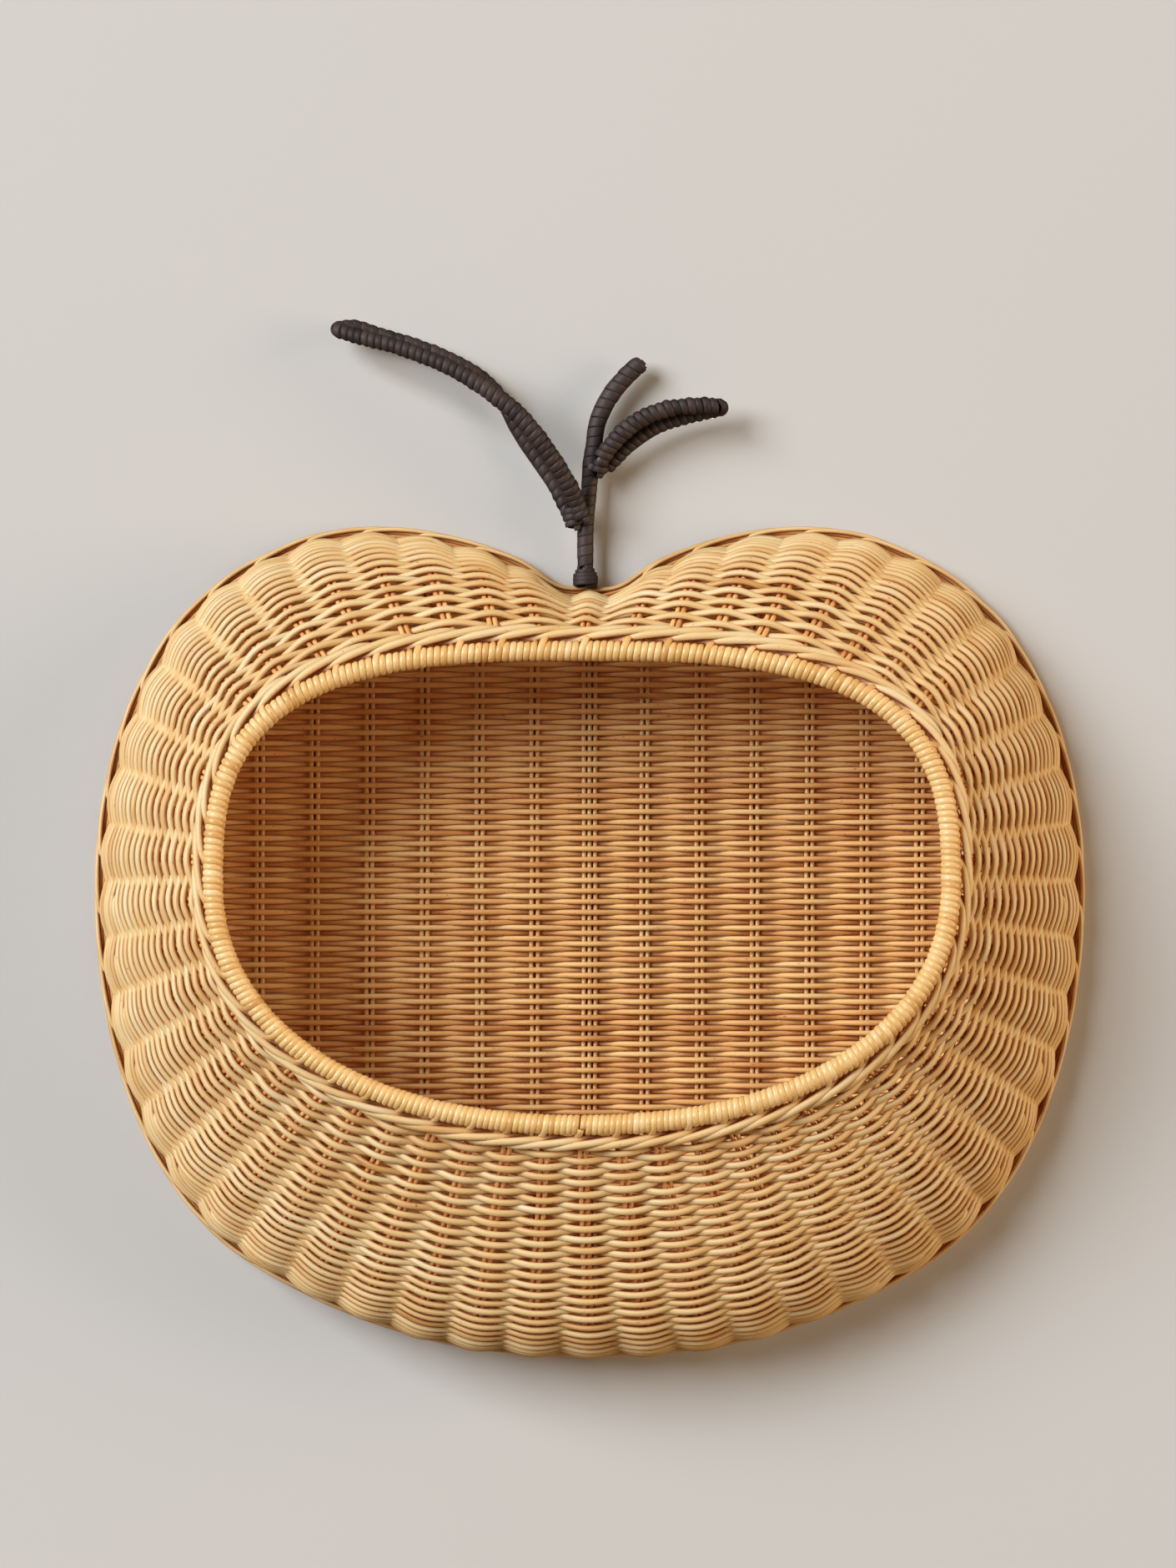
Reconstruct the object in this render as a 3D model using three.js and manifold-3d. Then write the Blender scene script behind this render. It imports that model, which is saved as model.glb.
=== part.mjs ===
// Rattan wall basket with a leafy stem: a flat woven back, a bulging woven wall that closes in to a wide
// oval mouth, and a dark cane-bound wire stem with two leaf loops. Millimetres, +Z up, the mouth faces -Y,
// the wall it hangs on is the plane y = 0. The origin is the middle of the flat back.
import * as THREE from 'three';
import Module from 'manifold-3d';
import { mergeVertices } from 'three/addons/utils/BufferGeometryUtils.js';

// Body
const basketWidth = 400;
const basketHeight = 335;
const clearance = 0.3;

// Right half of the outline on the wall, from the notch under the stem round to the lowest point.
// Each point is [share of half the width, share of half the height].
const outlineShares = [
  [0, 0.857],
  [0.055, 0.86],
  [0.143, 0.924],
  [0.29, 0.982],
  [0.43, 1],
  [0.556, 0.982],
  [0.64, 0.943],
  [0.72, 0.893],
  [0.789, 0.827],
  [0.851, 0.747],
  [0.937, 0.557],
  [0.984, 0.35],
  [1, 0.142],
  [0.991, -0.065],
  [0.96, -0.269],
  [0.903, -0.464],
  [0.825, -0.62],
  [0.735, -0.734],
  [0.61, -0.83],
  [0.46, -0.912],
  [0.305, -0.968],
  [0.153, -0.994],
  [0, -1],
];

// Mouth, on the centre line of the bound rim
const mouthWidth = 286;
const mouthRise = 88;
const mouthDrop = 95.5;
const mouthLevel = 27.4;
const mouthShift = -3;
const mouthDepthTop = 72;
const mouthDepthSide = 86;
const mouthDepthBottom = 94;
const upperRoundness = 2.9;
const lowerRoundness = 2.2;

// Wall section, as shares of its depth and of its run from the border in to the mouth. At the sides it is
// nearly straight, and at the bottom it turns near the border and then runs straight.
const wallRiseShare = 0.6;
const sideRiseShare = 0.2;
const sideLeanShare = 0.8;
const bottomLeanShare = 0.55;
const topShoulderShare = 0.3;
const bottomShoulderShare = 0.7;

// Half the flat of the weft's arch over a pair of stakes, as a share of the way to the next pair
const archShare = 0.19;

// Stakes: pairs of rods, upright across the back, and folded under the wall so that each makes two of
// its columns
const uprightPairs = 17;
const foldedPairs = 26;
const stakeThickness = 2;
const stakePairWidth = 4.3;
const mouthCrowdingShare = 0.0136;

// Weft, frame and border
const wallWeftThickness = 2.9;
const backWeftThickness = 2.3;
const frameWireDiameter = 3;
const borderDiameter = 4.2;

// Rim
const hoopDiameter = 5.6;
const rimBindingDiameter = 8;
const waleDiameter = 3.2;
const bindingEndGap = 0.8;

// Stem
const stemHeight = 88.6;
const stemOffset = -1.7;
const stemDepth = 8;
const stemWireDiameter = 3.2;
const stemCaneThickness = 1;
const stemCaneGap = 0.7;
const stemTurns = 24;
const stemCuffHeight = 6.7;
const stemCuffDiameter = 10.4;
const pinHeadDiameter = 2.4;
const pinHeadThickness = 0.7;
const pinHeightShare = 0.495;

// The stem's centre line above its foot, each point [sideways, up] in shares of its height
const stemLineShares = [
  [0, 0],
  [0, 0.228],
  [0.004, 0.304],
  [0.016, 0.418],
  [0.023, 0.532],
  [0.038, 0.627],
  [0.057, 0.738],
  [0.114, 0.855],
  [0.183, 0.939],
  [0.25, 1],
];

// Leaves: one wire each, bent into a narrow loop and bound from end to end
const leafWireDiameter = 2.6;
const leafBindingDiameter = 5.6;
const leftLeafLength = 125;
const rightLeafLength = 57;
const leftLeafHeight = 26.4;
const leftLeafOffset = -0.7;
const rightLeafHeight = 46.5;
const rightLeafOffset = 4.4;

// A leaf's loop from its joint on the stem, each point [sideways, toward the back, up] in shares of its
// length
const leftLeafShares = [
  [0, -0.045, -0.014],
  [-0.022, -0.063, 0.045],
  [-0.05, -0.1, 0.104],
  [-0.09, -0.135, 0.168],
  [-0.15, -0.16, 0.252],
  [-0.214, -0.17, 0.325],
  [-0.296, -0.168, 0.39],
  [-0.39, -0.155, 0.452],
  [-0.495, -0.135, 0.502],
  [-0.606, -0.104, 0.545],
  [-0.73, -0.066, 0.58],
  [-0.794, -0.036, 0.606],
  [-0.742, -0.006, 0.622],
  [-0.665, 0.008, 0.603],
  [-0.536, 0.016, 0.566],
  [-0.418, 0.016, 0.513],
  [-0.33, 0.016, 0.452],
  [-0.28, 0.016, 0.392],
  [-0.25, 0.016, 0.325],
  [-0.208, 0.016, 0.25],
  [-0.16, 0.016, 0.18],
  [-0.105, 0.014, 0.1],
  [-0.043, 0, -0.008],
];
const rightLeafShares = [
  [0.018, -0.09, 0.042],
  [0.095, -0.11, 0.142],
  [0.205, -0.14, 0.262],
  [0.34, -0.165, 0.35],
  [0.477, -0.175, 0.4],
  [0.625, -0.175, 0.424],
  [0.772, -0.165, 0.428],
  [0.86, -0.145, 0.424],
  [0.888, -0.11, 0.415],
  [0.86, -0.08, 0.4],
  [0.793, -0.065, 0.382],
  [0.675, -0.055, 0.352],
  [0.54, -0.05, 0.308],
  [0.405, -0.045, 0.244],
  [0.275, -0.035, 0.155],
  [0.16, -0.02, 0.065],
  [0.063, -0.01, -0.015],
];

// Counts
const outlineSteps = 720;
const wallLevels = 5;
const roundSides = 8;
const rimSides = 6;
const slimSides = 5;
const waleSides = 4;
const stemSteps = 14;
const turnSteps = 8;
const leftLeafSteps = 30;
const rightLeafSteps = 30;
const halvings = 40;

// Depths from the wall and insets from the outline, outside to inside
const borderRadius = borderDiameter / 2;
const wireRadius = frameWireDiameter / 2;
const stakeHalf = stakeThickness / 2;
const backThickness = stakeThickness + 2 * (backWeftThickness + clearance);
const stakeDepth = backWeftThickness + clearance + stakeHalf;
const wireDepth = stakeDepth + stakeHalf + clearance + wireRadius;
const wallInset = borderDiameter + clearance + stakeHalf;
const wireInset = wallInset + stakeHalf + clearance + wireRadius;
const backInset = wireInset + wireRadius + clearance;
const borderDepth = wireDepth - clearance - borderRadius;

const columns = 2 * foldedPairs;
const middleUpright = (uprightPairs - 1) / 2;
const uprightPitch = basketWidth / (uprightPairs + 1);
const linkDepth = wireDepth - clearance - stakePairWidth / 2;

// Under a bend made of few flats, which cut its corners
const bendClearance = 1.5 * clearance;

const toFront = new THREE.Vector3(0, -1, 0);

// Closed outlines, looked up by the share of the way round, clockwise from the top as seen from the front

function mirrored(half) {
  const left = half.slice(1, -1).reverse().map(([x, z]) => [-x, z]);
  return half.concat(left);
}

function outlineTable() {
  const points = mirrored(outlineShares).map(
    ([x, z]) => new THREE.Vector3((x * basketWidth) / 2, 0, (z * basketHeight) / 2),
  );
  const curve = new THREE.CatmullRomCurve3(points, true, 'centripetal');
  curve.arcLengthDivisions = outlineSteps;
  return curve.getSpacedPoints(outlineSteps).slice(0, -1);
}

function mouthTable() {
  const points = [];
  for (let i = 0; i < outlineSteps; i += 1) {
    const angle = Math.PI / 2 - (i / outlineSteps) * 2 * Math.PI;
    const c = Math.cos(angle);
    const s = Math.sin(angle);
    const roundness = s > 0 ? upperRoundness : lowerRoundness;
    const height = s > 0 ? mouthRise : mouthDrop;
    const reach = (Math.abs(c) ** roundness + Math.abs(s) ** roundness) ** (-1 / roundness);
    const middle = (mouthDepthTop + mouthDepthBottom) / 4 + mouthDepthSide / 2;
    const tilt = (mouthDepthTop - mouthDepthBottom) / 2;
    const depth = middle + tilt * s + (mouthDepthSide - middle) * (c * c - s * s);
    points.push(
      new THREE.Vector3(
        mouthShift + ((c * mouthWidth) / 2) * reach,
        -depth,
        mouthLevel + s * height * reach,
      ),
    );
  }
  const curve = new THREE.CatmullRomCurve3(points, true);
  curve.arcLengthDivisions = outlineSteps;
  return curve.getSpacedPoints(outlineSteps).slice(0, -1);
}

function lookUp(table, share) {
  const place = (share - Math.floor(share)) * table.length;
  const index = Math.floor(place);
  const next = table[(index + 1) % table.length];
  return table[index % table.length].clone().lerp(next, place - index);
}

const outline = outlineTable();
const mouth = mouthTable();

// A point inside the outline, square to it, at a depth from the wall
function insetPoint(share, inset, depth) {
  const step = 1 / outlineSteps;
  const ahead = lookUp(outline, share + step).sub(lookUp(outline, share - step)).normalize();
  const inward = new THREE.Vector3(ahead.z, 0, -ahead.x);
  return lookUp(outline, share).addScaledVector(inward, inset).addScaledVector(toFront, depth);
}

// A station counts columns round the basket. It may lie between two of them.
function mouthPoint(station) {
  const share = station / columns;
  return lookUp(mouth, share + mouthCrowdingShare * Math.sin(2 * Math.PI * share));
}

// The middle of the wall's thickness at one station, from the border forward and in to the mouth
const wallLines = new Map();

function wallLine(station) {
  if (!wallLines.has(station)) {
    const start = insetPoint(station / columns, wallInset, wireDepth);
    const end = mouthPoint(station);
    const side = Math.sin((2 * Math.PI * station) / columns) ** 2;
    const rise = (start.y - end.y) * (wallRiseShare + (sideRiseShare - wallRiseShare) * side);
    const bottom = ((1 - Math.cos((2 * Math.PI * station) / columns)) / 2) ** 4;
    const backAgain = start.clone().sub(end);
    backAgain.y *= sideLeanShare * side + bottomLeanShare * bottom;
    const shoulder = topShoulderShare + (bottomShoulderShare - topShoulderShare) * bottom;
    wallLines.set(
      station,
      new THREE.CubicBezierCurve3(
        start,
        start.clone().addScaledVector(toFront, rise),
        end.clone().addScaledVector(backAgain, shoulder),
        end,
      ),
    );
  }
  return wallLines.get(station);
}

// A point on the wall's middle, measured along it from the border, and past either end straight on
function wallPoint(station, distance) {
  const line = wallLine(station);
  const length = line.getLength();
  if (distance < 0) return line.getPoint(0).addScaledVector(toFront, distance);
  if (distance > length) {
    return line.getPoint(1).addScaledVector(line.getTangent(1), distance - length);
  }
  return line.getPointAt(distance / length);
}

// Place, direction to the mouth, direction round the wall and direction out of it
function wallFrame(station, distance) {
  const share = distance / wallLine(station).getLength();
  const at = wallPoint(station, distance);
  const small = stakeThickness / 10;
  const along = wallPoint(station, distance + small).sub(wallPoint(station, distance - small)).normalize();
  const before = wallPoint(station - 1 / 4, share * wallLine(station - 1 / 4).getLength());
  const after = wallPoint(station + 1 / 4, share * wallLine(station + 1 / 4).getLength());
  const round = after.sub(before);
  round.addScaledVector(along, -round.dot(along)).normalize();
  const out = new THREE.Vector3().crossVectors(along, round);
  return { at, along, round, out };
}

// Solids from rings of points. Every ring has as many points, in the same order. Each patch of four points
// is split along the diagonal that dips into the solid, so that neighbours keep their clearance.

function solidFrom(rings, closed) {
  const sides = rings[0].length;
  const points = rings.flat();
  const patches = [];
  const last = closed ? rings.length : rings.length - 1;
  for (let i = 0; i < last; i += 1) {
    const a = i * sides;
    const b = ((i + 1) % rings.length) * sides;
    for (let j = 0; j < sides; j += 1) {
      const k = (j + 1) % sides;
      patches.push([a + j, a + k, b + k, b + j]);
    }
  }
  const caps = [];
  if (!closed) {
    const end = (rings.length - 1) * sides;
    for (let j = 1; j + 1 < sides; j += 1) {
      caps.push([0, j + 1, j]);
      caps.push([end, end + j, end + j + 1]);
    }
  }
  const rough = patches.flatMap(([a, b, c, d]) => [[a, b, c], [a, c, d]]).concat(caps);
  const turn = Math.sign(enclosed(points, rough));
  const split = patches.flatMap((corners) => {
    const [a, b, c, d] = corners;
    return dips(corners.map((i) => points[i]), turn) ? [[a, b, c], [a, c, d]] : [[a, b, d], [b, c, d]];
  });
  const triangles = split.concat(caps).map(([a, b, c]) => (turn > 0 ? [a, b, c] : [a, c, b]));
  const geometry = new THREE.BufferGeometry();
  geometry.setAttribute('position', new THREE.Float32BufferAttribute(points.flatMap((p) => p.toArray()), 3));
  geometry.setIndex(triangles.flat());
  geometry.computeVertexNormals();
  return geometry;
}

// Six times the volume that the triangles enclose, below zero where they face in
function enclosed(points, triangles) {
  const normal = new THREE.Vector3();
  return triangles.reduce(
    (sum, [a, b, c]) => sum + points[a].dot(normal.crossVectors(points[b], points[c])),
    0,
  );
}

// Whether the diagonal from the first corner lies inside the other one
function dips([a, b, c, d], turn) {
  const one = c.clone().sub(a);
  const other = d.clone().sub(b);
  const apart = a.clone().add(c).sub(b).sub(d);
  return turn * apart.dot(one.cross(other)) <= 0;
}

// A regular ring of points round a centre, with its first corner toward u
function roundRing(centre, u, v, radius, sides) {
  const ring = [];
  for (let i = 0; i < sides; i += 1) {
    const angle = (i / sides) * 2 * Math.PI;
    const point = centre.clone().addScaledVector(u, radius * Math.cos(angle));
    ring.push(point.addScaledVector(v, radius * Math.sin(angle)));
  }
  return ring;
}

// A sleeve with a bore: its rings run along the outside and back through the bore
function sleeveFrom(outer, inner) {
  const rings = outer[0].map((_, side) => {
    const outside = outer.map((ring) => ring[side]);
    const bore = inner.map((ring) => ring[side]).reverse();
    return outside.concat(bore);
  });
  return solidFrom(rings, true);
}

// Frames carried along an open line without twisting
function carriedFrames(points, first) {
  const frames = [];
  let u = first.clone();
  points.forEach((at, i) => {
    const before = points[Math.max(i - 1, 0)];
    const after = points[Math.min(i + 1, points.length - 1)];
    const along = after.clone().sub(before).normalize();
    u = u.clone().addScaledVector(along, -u.dot(along)).normalize();
    frames.push({ at, along, u, v: new THREE.Vector3().crossVectors(along, u) });
  });
  return frames;
}

// Round the mouth: each ring stands square to the rim, offset outward along the wall and out of it
function mouthRings(stations, back, lift, radius, sides) {
  return stations.map((station) => {
    const line = wallLine(station);
    const { along, out } = wallFrame(station, line.getLength() - back);
    const centre = wallPoint(station, line.getLength() - back).addScaledVector(out, lift);
    return roundRing(centre, out, along, radius, sides);
  });
}

function stationsFrom(first, last, steps) {
  return Array.from({ length: steps + 1 }, (_, i) => first + ((last - first) * i) / steps);
}

const wholeRound = stationsFrom(0, columns, columns).slice(0, -1);

// Parts

const rimRadius = rimBindingDiameter / 2;
const waleRadius = waleDiameter / 2;
const firstWaleBack = rimRadius + clearance + waleRadius;
const secondWaleBack = firstWaleBack + waleDiameter + clearance;
const waleLift = stakeHalf + clearance + waleRadius;
const wallEndBack = secondWaleBack + waleRadius + clearance;

function outlineRing(inset, depth, radius, sides) {
  const rings = [];
  for (let i = 0; i < 2 * columns; i += 1) {
    const share = i / (2 * columns);
    const centre = insetPoint(share, inset, depth);
    const outward = centre.clone().sub(insetPoint(share, inset + radius, depth)).normalize();
    rings.push(roundRing(centre, outward, toFront, radius, sides));
  }
  return solidFrom(rings, true);
}

// Distances along the wall at which its weft and its stakes both bend, from the frame wire to the wale
function wallDistances(station) {
  const length = wallLine(station).getLength() - wallEndBack;
  return Array.from({ length: wallLevels }, (_, j) => (length * j) / (wallLevels - 1));
}

// The wall's weft: one layer that arches over each pair of stakes and dips between the pairs
function wallSolid() {
  const rings = [];
  const ringAt = (station, inner) => {
    const inside = wallDistances(station).map((distance) => {
      const { at, out } = wallFrame(station, distance);
      return { low: at.clone().addScaledVector(out, inner), out };
    });
    const outside = inside.map(({ low, out }) => low.clone().addScaledVector(out, wallWeftThickness));
    rings.push(outside.concat(inside.map(({ low }) => low).reverse()));
  };
  for (let column = 0; column < columns; column += 1) {
    ringAt(column - archShare, stakeHalf + bendClearance);
    ringAt(column + archShare, stakeHalf + bendClearance);
    ringAt(column + 1 / 2, -stakeHalf);
  }
  return solidFrom(rings, true);
}

// One pair of stakes as a flat bar with blunt edges, at a place, across and through its thickness
function stakeRing(at, across, through) {
  const half = stakePairWidth / 2;
  const flat = half - stakeHalf / 2;
  const corners = [
    [half, 0],
    [flat, stakeHalf],
    [-flat, stakeHalf],
    [-half, 0],
    [-flat, -stakeHalf],
    [flat, -stakeHalf],
  ];
  return corners.map(([x, y]) => at.clone().addScaledVector(across, x).addScaledVector(through, y));
}

// Up the wall from the frame wire to the rim. Where the stake meets the rim aslant, it ends sooner.
function wallStakeRings(station) {
  const length = wallLine(station).getLength() - rimRadius - clearance;
  const { along } = wallFrame(station, length);
  const rim = mouthPoint(station + 1 / 4).sub(mouthPoint(station - 1 / 4)).normalize();
  const lean = Math.abs(rim.dot(along));
  const end = length - ((stakePairWidth / 2) * lean) / Math.sqrt(1 - lean * lean);
  return [...wallDistances(station), end].map((distance) => {
    const frame = wallFrame(station, distance);
    return stakeRing(frame.at, frame.round, frame.out);
  });
}

// Behind the wall's edge, from one column to the next: the turn under a column, toward the given side
function foldRings(station, side) {
  const { at, round, out } = wallFrame(station, 0);
  const radius = wireDepth - linkDepth;
  return [Math.PI / 4, Math.PI / 2].map((turn) => {
    const sideways = side * radius * (1 - Math.cos(turn));
    const drop = radius * Math.sin(turn);
    const centre = at.clone().addScaledVector(round, sideways).addScaledVector(toFront, -drop);
    const across = round.clone().multiplyScalar(Math.cos(turn));
    across.addScaledVector(toFront, side * Math.sin(turn));
    return stakeRing(centre, across, out);
  });
}

// A folded pair: down one column, along under the edge of the wall, and up the next column
function foldedPair(station) {
  const next = station + 1;
  const middle = wallFrame(station + 1 / 2, 0);
  const centre = middle.at.clone().addScaledVector(toFront, linkDepth - wireDepth);
  const link = stakeRing(centre, toFront, middle.out);
  const reversed = (ring) => [3, 2, 1, 0, 5, 4].map((i) => ring[i]);
  const down = wallStakeRings(station).reverse();
  const up = [...foldRings(next, -1).reverse(), ...wallStakeRings(next)].map(reversed);
  return solidFrom([...down, ...foldRings(station, 1), link, ...up], false);
}

// The height at which an upright pair ends behind the frame wire, between two shares of the outline
function uprightEnd(x, low, high) {
  let near = low;
  let far = high;
  for (let i = 0; i < halvings; i += 1) {
    const middle = (near + far) / 2;
    if (insetPoint(middle, wireInset, 0).x < x) near = middle;
    else far = middle;
  }
  return insetPoint(near, wireInset, 0).z;
}

// An upright pair stops short of the wall's stakes at whichever of its corners meets them first
function uprightPair(number) {
  const middle = Math.abs(number) * uprightPitch;
  const reaches = [Math.max(middle - stakePairWidth / 2, 0), middle + stakePairWidth / 2];
  const top = Math.min(...reaches.map((x) => uprightEnd(x, 0, 1 / 4)));
  const bottom = Math.max(...reaches.map((x) => uprightEnd(x, 1 / 2, 1 / 4)));
  const across = new THREE.Vector3(1, 0, 0);
  const rings = [top, bottom].map((z) =>
    stakeRing(new THREE.Vector3(number * uprightPitch, -stakeDepth, z), across, toFront),
  );
  return solidFrom(rings, false);
}

const wasm = await Module();
wasm.setup();

function toManifold(geometry) {
  const bare = geometry.clone();
  bare.deleteAttribute('normal');
  bare.deleteAttribute('uv');
  const merged = mergeVertices(bare);
  return new wasm.Manifold(
    new wasm.Mesh({
      numProp: 3,
      vertProperties: new Float32Array(merged.getAttribute('position').array),
      triVerts: new Uint32Array(merged.getIndex().array),
    }),
  );
}

function fromManifold(solid) {
  const mesh = solid.getMesh();
  const geometry = new THREE.BufferGeometry();
  geometry.setAttribute('position', new THREE.Float32BufferAttribute(mesh.vertProperties, mesh.numProp));
  geometry.setIndex(Array.from(mesh.triVerts));
  geometry.computeVertexNormals();
  return geometry;
}

// The back's weft from side to side: full thickness over each upright pair, one rod thick between two pairs
function ridgedSlab() {
  const front = [];
  for (let i = -middleUpright - 1; i <= middleUpright + 1; i += 1) {
    front.push([(i - archShare) * uprightPitch, backThickness / 2]);
    front.push([(i + archShare) * uprightPitch, backThickness / 2]);
    front.push([(i + 1 / 2) * uprightPitch, backWeftThickness / 2]);
  }
  const rear = front.map(([x, lift]) => [x, -lift]).reverse();
  const shape = new THREE.Shape(
    front.concat(rear).map(([x, lift]) => new THREE.Vector2(x, -stakeDepth - lift)),
  );
  const slab = new THREE.ExtrudeGeometry(shape, { depth: basketHeight, bevelEnabled: false });
  slab.translate(0, 0, -basketHeight / 2);
  return toManifold(slab);
}

// The flat back: the ridged slab cut to the outline, with a channel through it for each upright pair
function backSolid() {
  const shape = new THREE.Shape();
  for (let i = 0; i < 2 * columns; i += 1) {
    const point = insetPoint(i / (2 * columns), backInset, 0);
    if (i === 0) shape.moveTo(point.x, point.z);
    else shape.lineTo(point.x, point.z);
  }
  shape.closePath();
  const plate = new THREE.ExtrudeGeometry(shape, { depth: backThickness, bevelEnabled: false });
  plate.rotateX(Math.PI / 2);
  let solid = toManifold(plate).intersect(ridgedSlab());
  for (let i = -middleUpright; i <= middleUpright; i += 1) {
    const width = stakePairWidth + 2 * clearance;
    const channel = new THREE.BoxGeometry(width, stakeThickness + 2 * clearance, basketHeight);
    channel.translate(i * uprightPitch, -stakeDepth, 0);
    solid = solid.subtract(toManifold(channel));
  }
  return fromManifold(solid);
}

function waleRod(back, lift) {
  return solidFrom(mouthRings(wholeRound, back, lift, waleRadius, waleSides), true);
}

function rimBinding() {
  const middle = columns / 2;
  const gap = (bindingEndGap / mouthPoint(middle).distanceTo(mouthPoint(middle + 1))) / 2;
  const stations = stationsFrom(middle, middle + columns, columns);
  stations[0] += gap;
  stations[columns] -= gap;
  const outer = mouthRings(stations, 0, 0, rimRadius, rimSides);
  const inner = mouthRings(stations, 0, 0, hoopDiameter / 2 + bendClearance, rimSides);
  return sleeveFrom(outer, inner);
}

// The stem and its leaves

const notchShare = outlineShares[1][1];
const stemFoot = new THREE.Vector3(stemOffset, -stemDepth, (notchShare * basketHeight) / 2 + clearance);

const stemCurve = new THREE.CatmullRomCurve3(
  stemLineShares.map(([x, z]) => stemFoot.clone().add(new THREE.Vector3(x, 0, z).multiplyScalar(stemHeight))),
);

function tubeRings(points, radius, sides) {
  return carriedFrames(points, toFront).map(({ at, u, v }) => roundRing(at, u, v, radius, sides));
}

function stemWire() {
  return solidFrom(tubeRings(stemCurve.getSpacedPoints(stemSteps), stemWireDiameter / 2, roundSides), false);
}

// The tapered cuff that covers the stem's foot
function stemCuff() {
  const bore = stemWireDiameter / 2 + clearance;
  const top = stemWireDiameter / 2 + clearance + stemCaneThickness;
  const profile = [
    [bore, 0],
    [stemCuffDiameter / 2, 0],
    [stemCuffDiameter / 2, stemCuffHeight / 3],
    [top, stemCuffHeight],
    [bore, stemCuffHeight],
    [bore, 0],
  ].map(([x, y]) => new THREE.Vector2(x, y));
  const geometry = new THREE.LatheGeometry(profile, 2 * roundSides);
  geometry.rotateX(Math.PI / 2);
  return fromManifold(toManifold(geometry));
}

// The cane wound up the stem: one flat strip in even turns, a gap apart
function stemWinding() {
  const length = stemCurve.getLength();
  const first = stemCuffHeight + stemCaneGap;
  const pitch = (length - first - stemCaneGap) / (stemTurns + 1);
  const width = pitch - stemCaneGap;
  const radius = stemWireDiameter / 2 + bendClearance;
  const steps = stemTurns * turnSteps;
  const centres = [];
  for (let i = 0; i <= steps; i += 1) {
    const distance = first + pitch / 2 + (pitch * i) / turnSteps;
    centres.push(stemCurve.getPointAt(distance / length));
  }
  const frames = carriedFrames(centres, toFront);
  const section = [
    [-width / 2, 0],
    [width / 2, 0],
    [width / 3, stemCaneThickness / 2],
    [0, stemCaneThickness],
    [-width / 3, stemCaneThickness / 2],
  ];
  const rings = frames.map(({ at, along, u, v }, i) => {
    const angle = (i / turnSteps) * 2 * Math.PI;
    const out = u.clone().multiplyScalar(Math.cos(angle)).addScaledVector(v, Math.sin(angle));
    return section.map(([a, r]) => at.clone().addScaledVector(along, a).addScaledVector(out, radius + r));
  });
  printLeastGap(rings, turnSteps);
  return solidFrom(rings, false);
}

// The least distance between points of one turn and points of the next
function printLeastGap(rings, perTurn) {
  let least = Infinity;
  rings.forEach((ring, i) => {
    const last = Math.min(i + perTurn + 2, rings.length - 1);
    for (let k = i + perTurn - 2; k <= last; k += 1) {
      for (const p of ring) {
        for (const q of rings[k]) least = Math.min(least, p.distanceTo(q));
      }
    }
  });
  console.log(`least gap between the stem's turns: ${least.toFixed(3)} mm`);
}

function leafCurve(shares, length, height, offset) {
  const joint = stemFoot.clone().add(new THREE.Vector3(offset, 0, height));
  const points = shares.map(([x, y, z]) => new THREE.Vector3(x, y, z).multiplyScalar(length).add(joint));
  return new THREE.CatmullRomCurve3(points);
}

function leafWire(curve, steps) {
  return solidFrom(tubeRings(curve.getSpacedPoints(steps), leafWireDiameter / 2, slimSides), false);
}

function leafBinding(curve, steps) {
  const points = curve.getSpacedPoints(steps);
  const outer = tubeRings(points, leafBindingDiameter / 2, slimSides);
  const inner = tubeRings(points, leafWireDiameter / 2 + bendClearance, slimSides);
  return sleeveFrom(outer, inner);
}

function pinHead() {
  const geometry = new THREE.CylinderGeometry(
    pinHeadDiameter / 2,
    pinHeadDiameter / 2,
    pinHeadThickness,
    roundSides,
  );
  const place = stemCurve.getPointAt(pinHeightShare);
  const reach = stemWireDiameter / 2 + bendClearance + stemCaneThickness + clearance;
  place.addScaledVector(toFront, reach + pinHeadThickness / 2);
  geometry.translate(place.x, place.y, place.z);
  return fromManifold(toManifold(geometry));
}

// Materials
const rattan = { color: 0xc99a5b, roughness: 0.55, metalness: 0 };
const paleCane = { color: 0xd9ac6c, roughness: 0.4, metalness: 0 };
const darkCane = { color: 0x3b302c, roughness: 0.5, metalness: 0 };
const wireMetal = { color: 0x5a5450, roughness: 0.5, metalness: 0.8 };
const pinMetal = { color: 0x8d8680, roughness: 0.35, metalness: 0.9 };

const basket = new THREE.Group();

function add(name, geometry, look) {
  const mesh = new THREE.Mesh(geometry, new THREE.MeshStandardMaterial(look));
  mesh.name = name;
  basket.add(mesh);
}

add('back_weave', backSolid(), rattan);
add('wall_weave', wallSolid(), rattan);
for (let i = -middleUpright; i <= middleUpright; i += 1) {
  add(`upright_pair_${i + middleUpright + 1}`, uprightPair(i), rattan);
}
for (let i = 0; i < foldedPairs; i += 1) {
  add(`wall_pair_${i + 1}`, foldedPair(2 * i), rattan);
}
add('frame_wire', outlineRing(wireInset, wireDepth, wireRadius, slimSides), wireMetal);
add('border', outlineRing(borderRadius, borderDepth, borderRadius, slimSides), rattan);
add('rim_hoop', solidFrom(mouthRings(wholeRound, 0, 0, hoopDiameter / 2, rimSides), true), rattan);
add('rim_binding', rimBinding(), paleCane);
add('wale_outer', waleRod(firstWaleBack, waleLift), rattan);
add('wale_middle', waleRod(secondWaleBack, waleLift), rattan);
add('wale_inner', waleRod((firstWaleBack + secondWaleBack) / 2, -waleLift), rattan);

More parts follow.
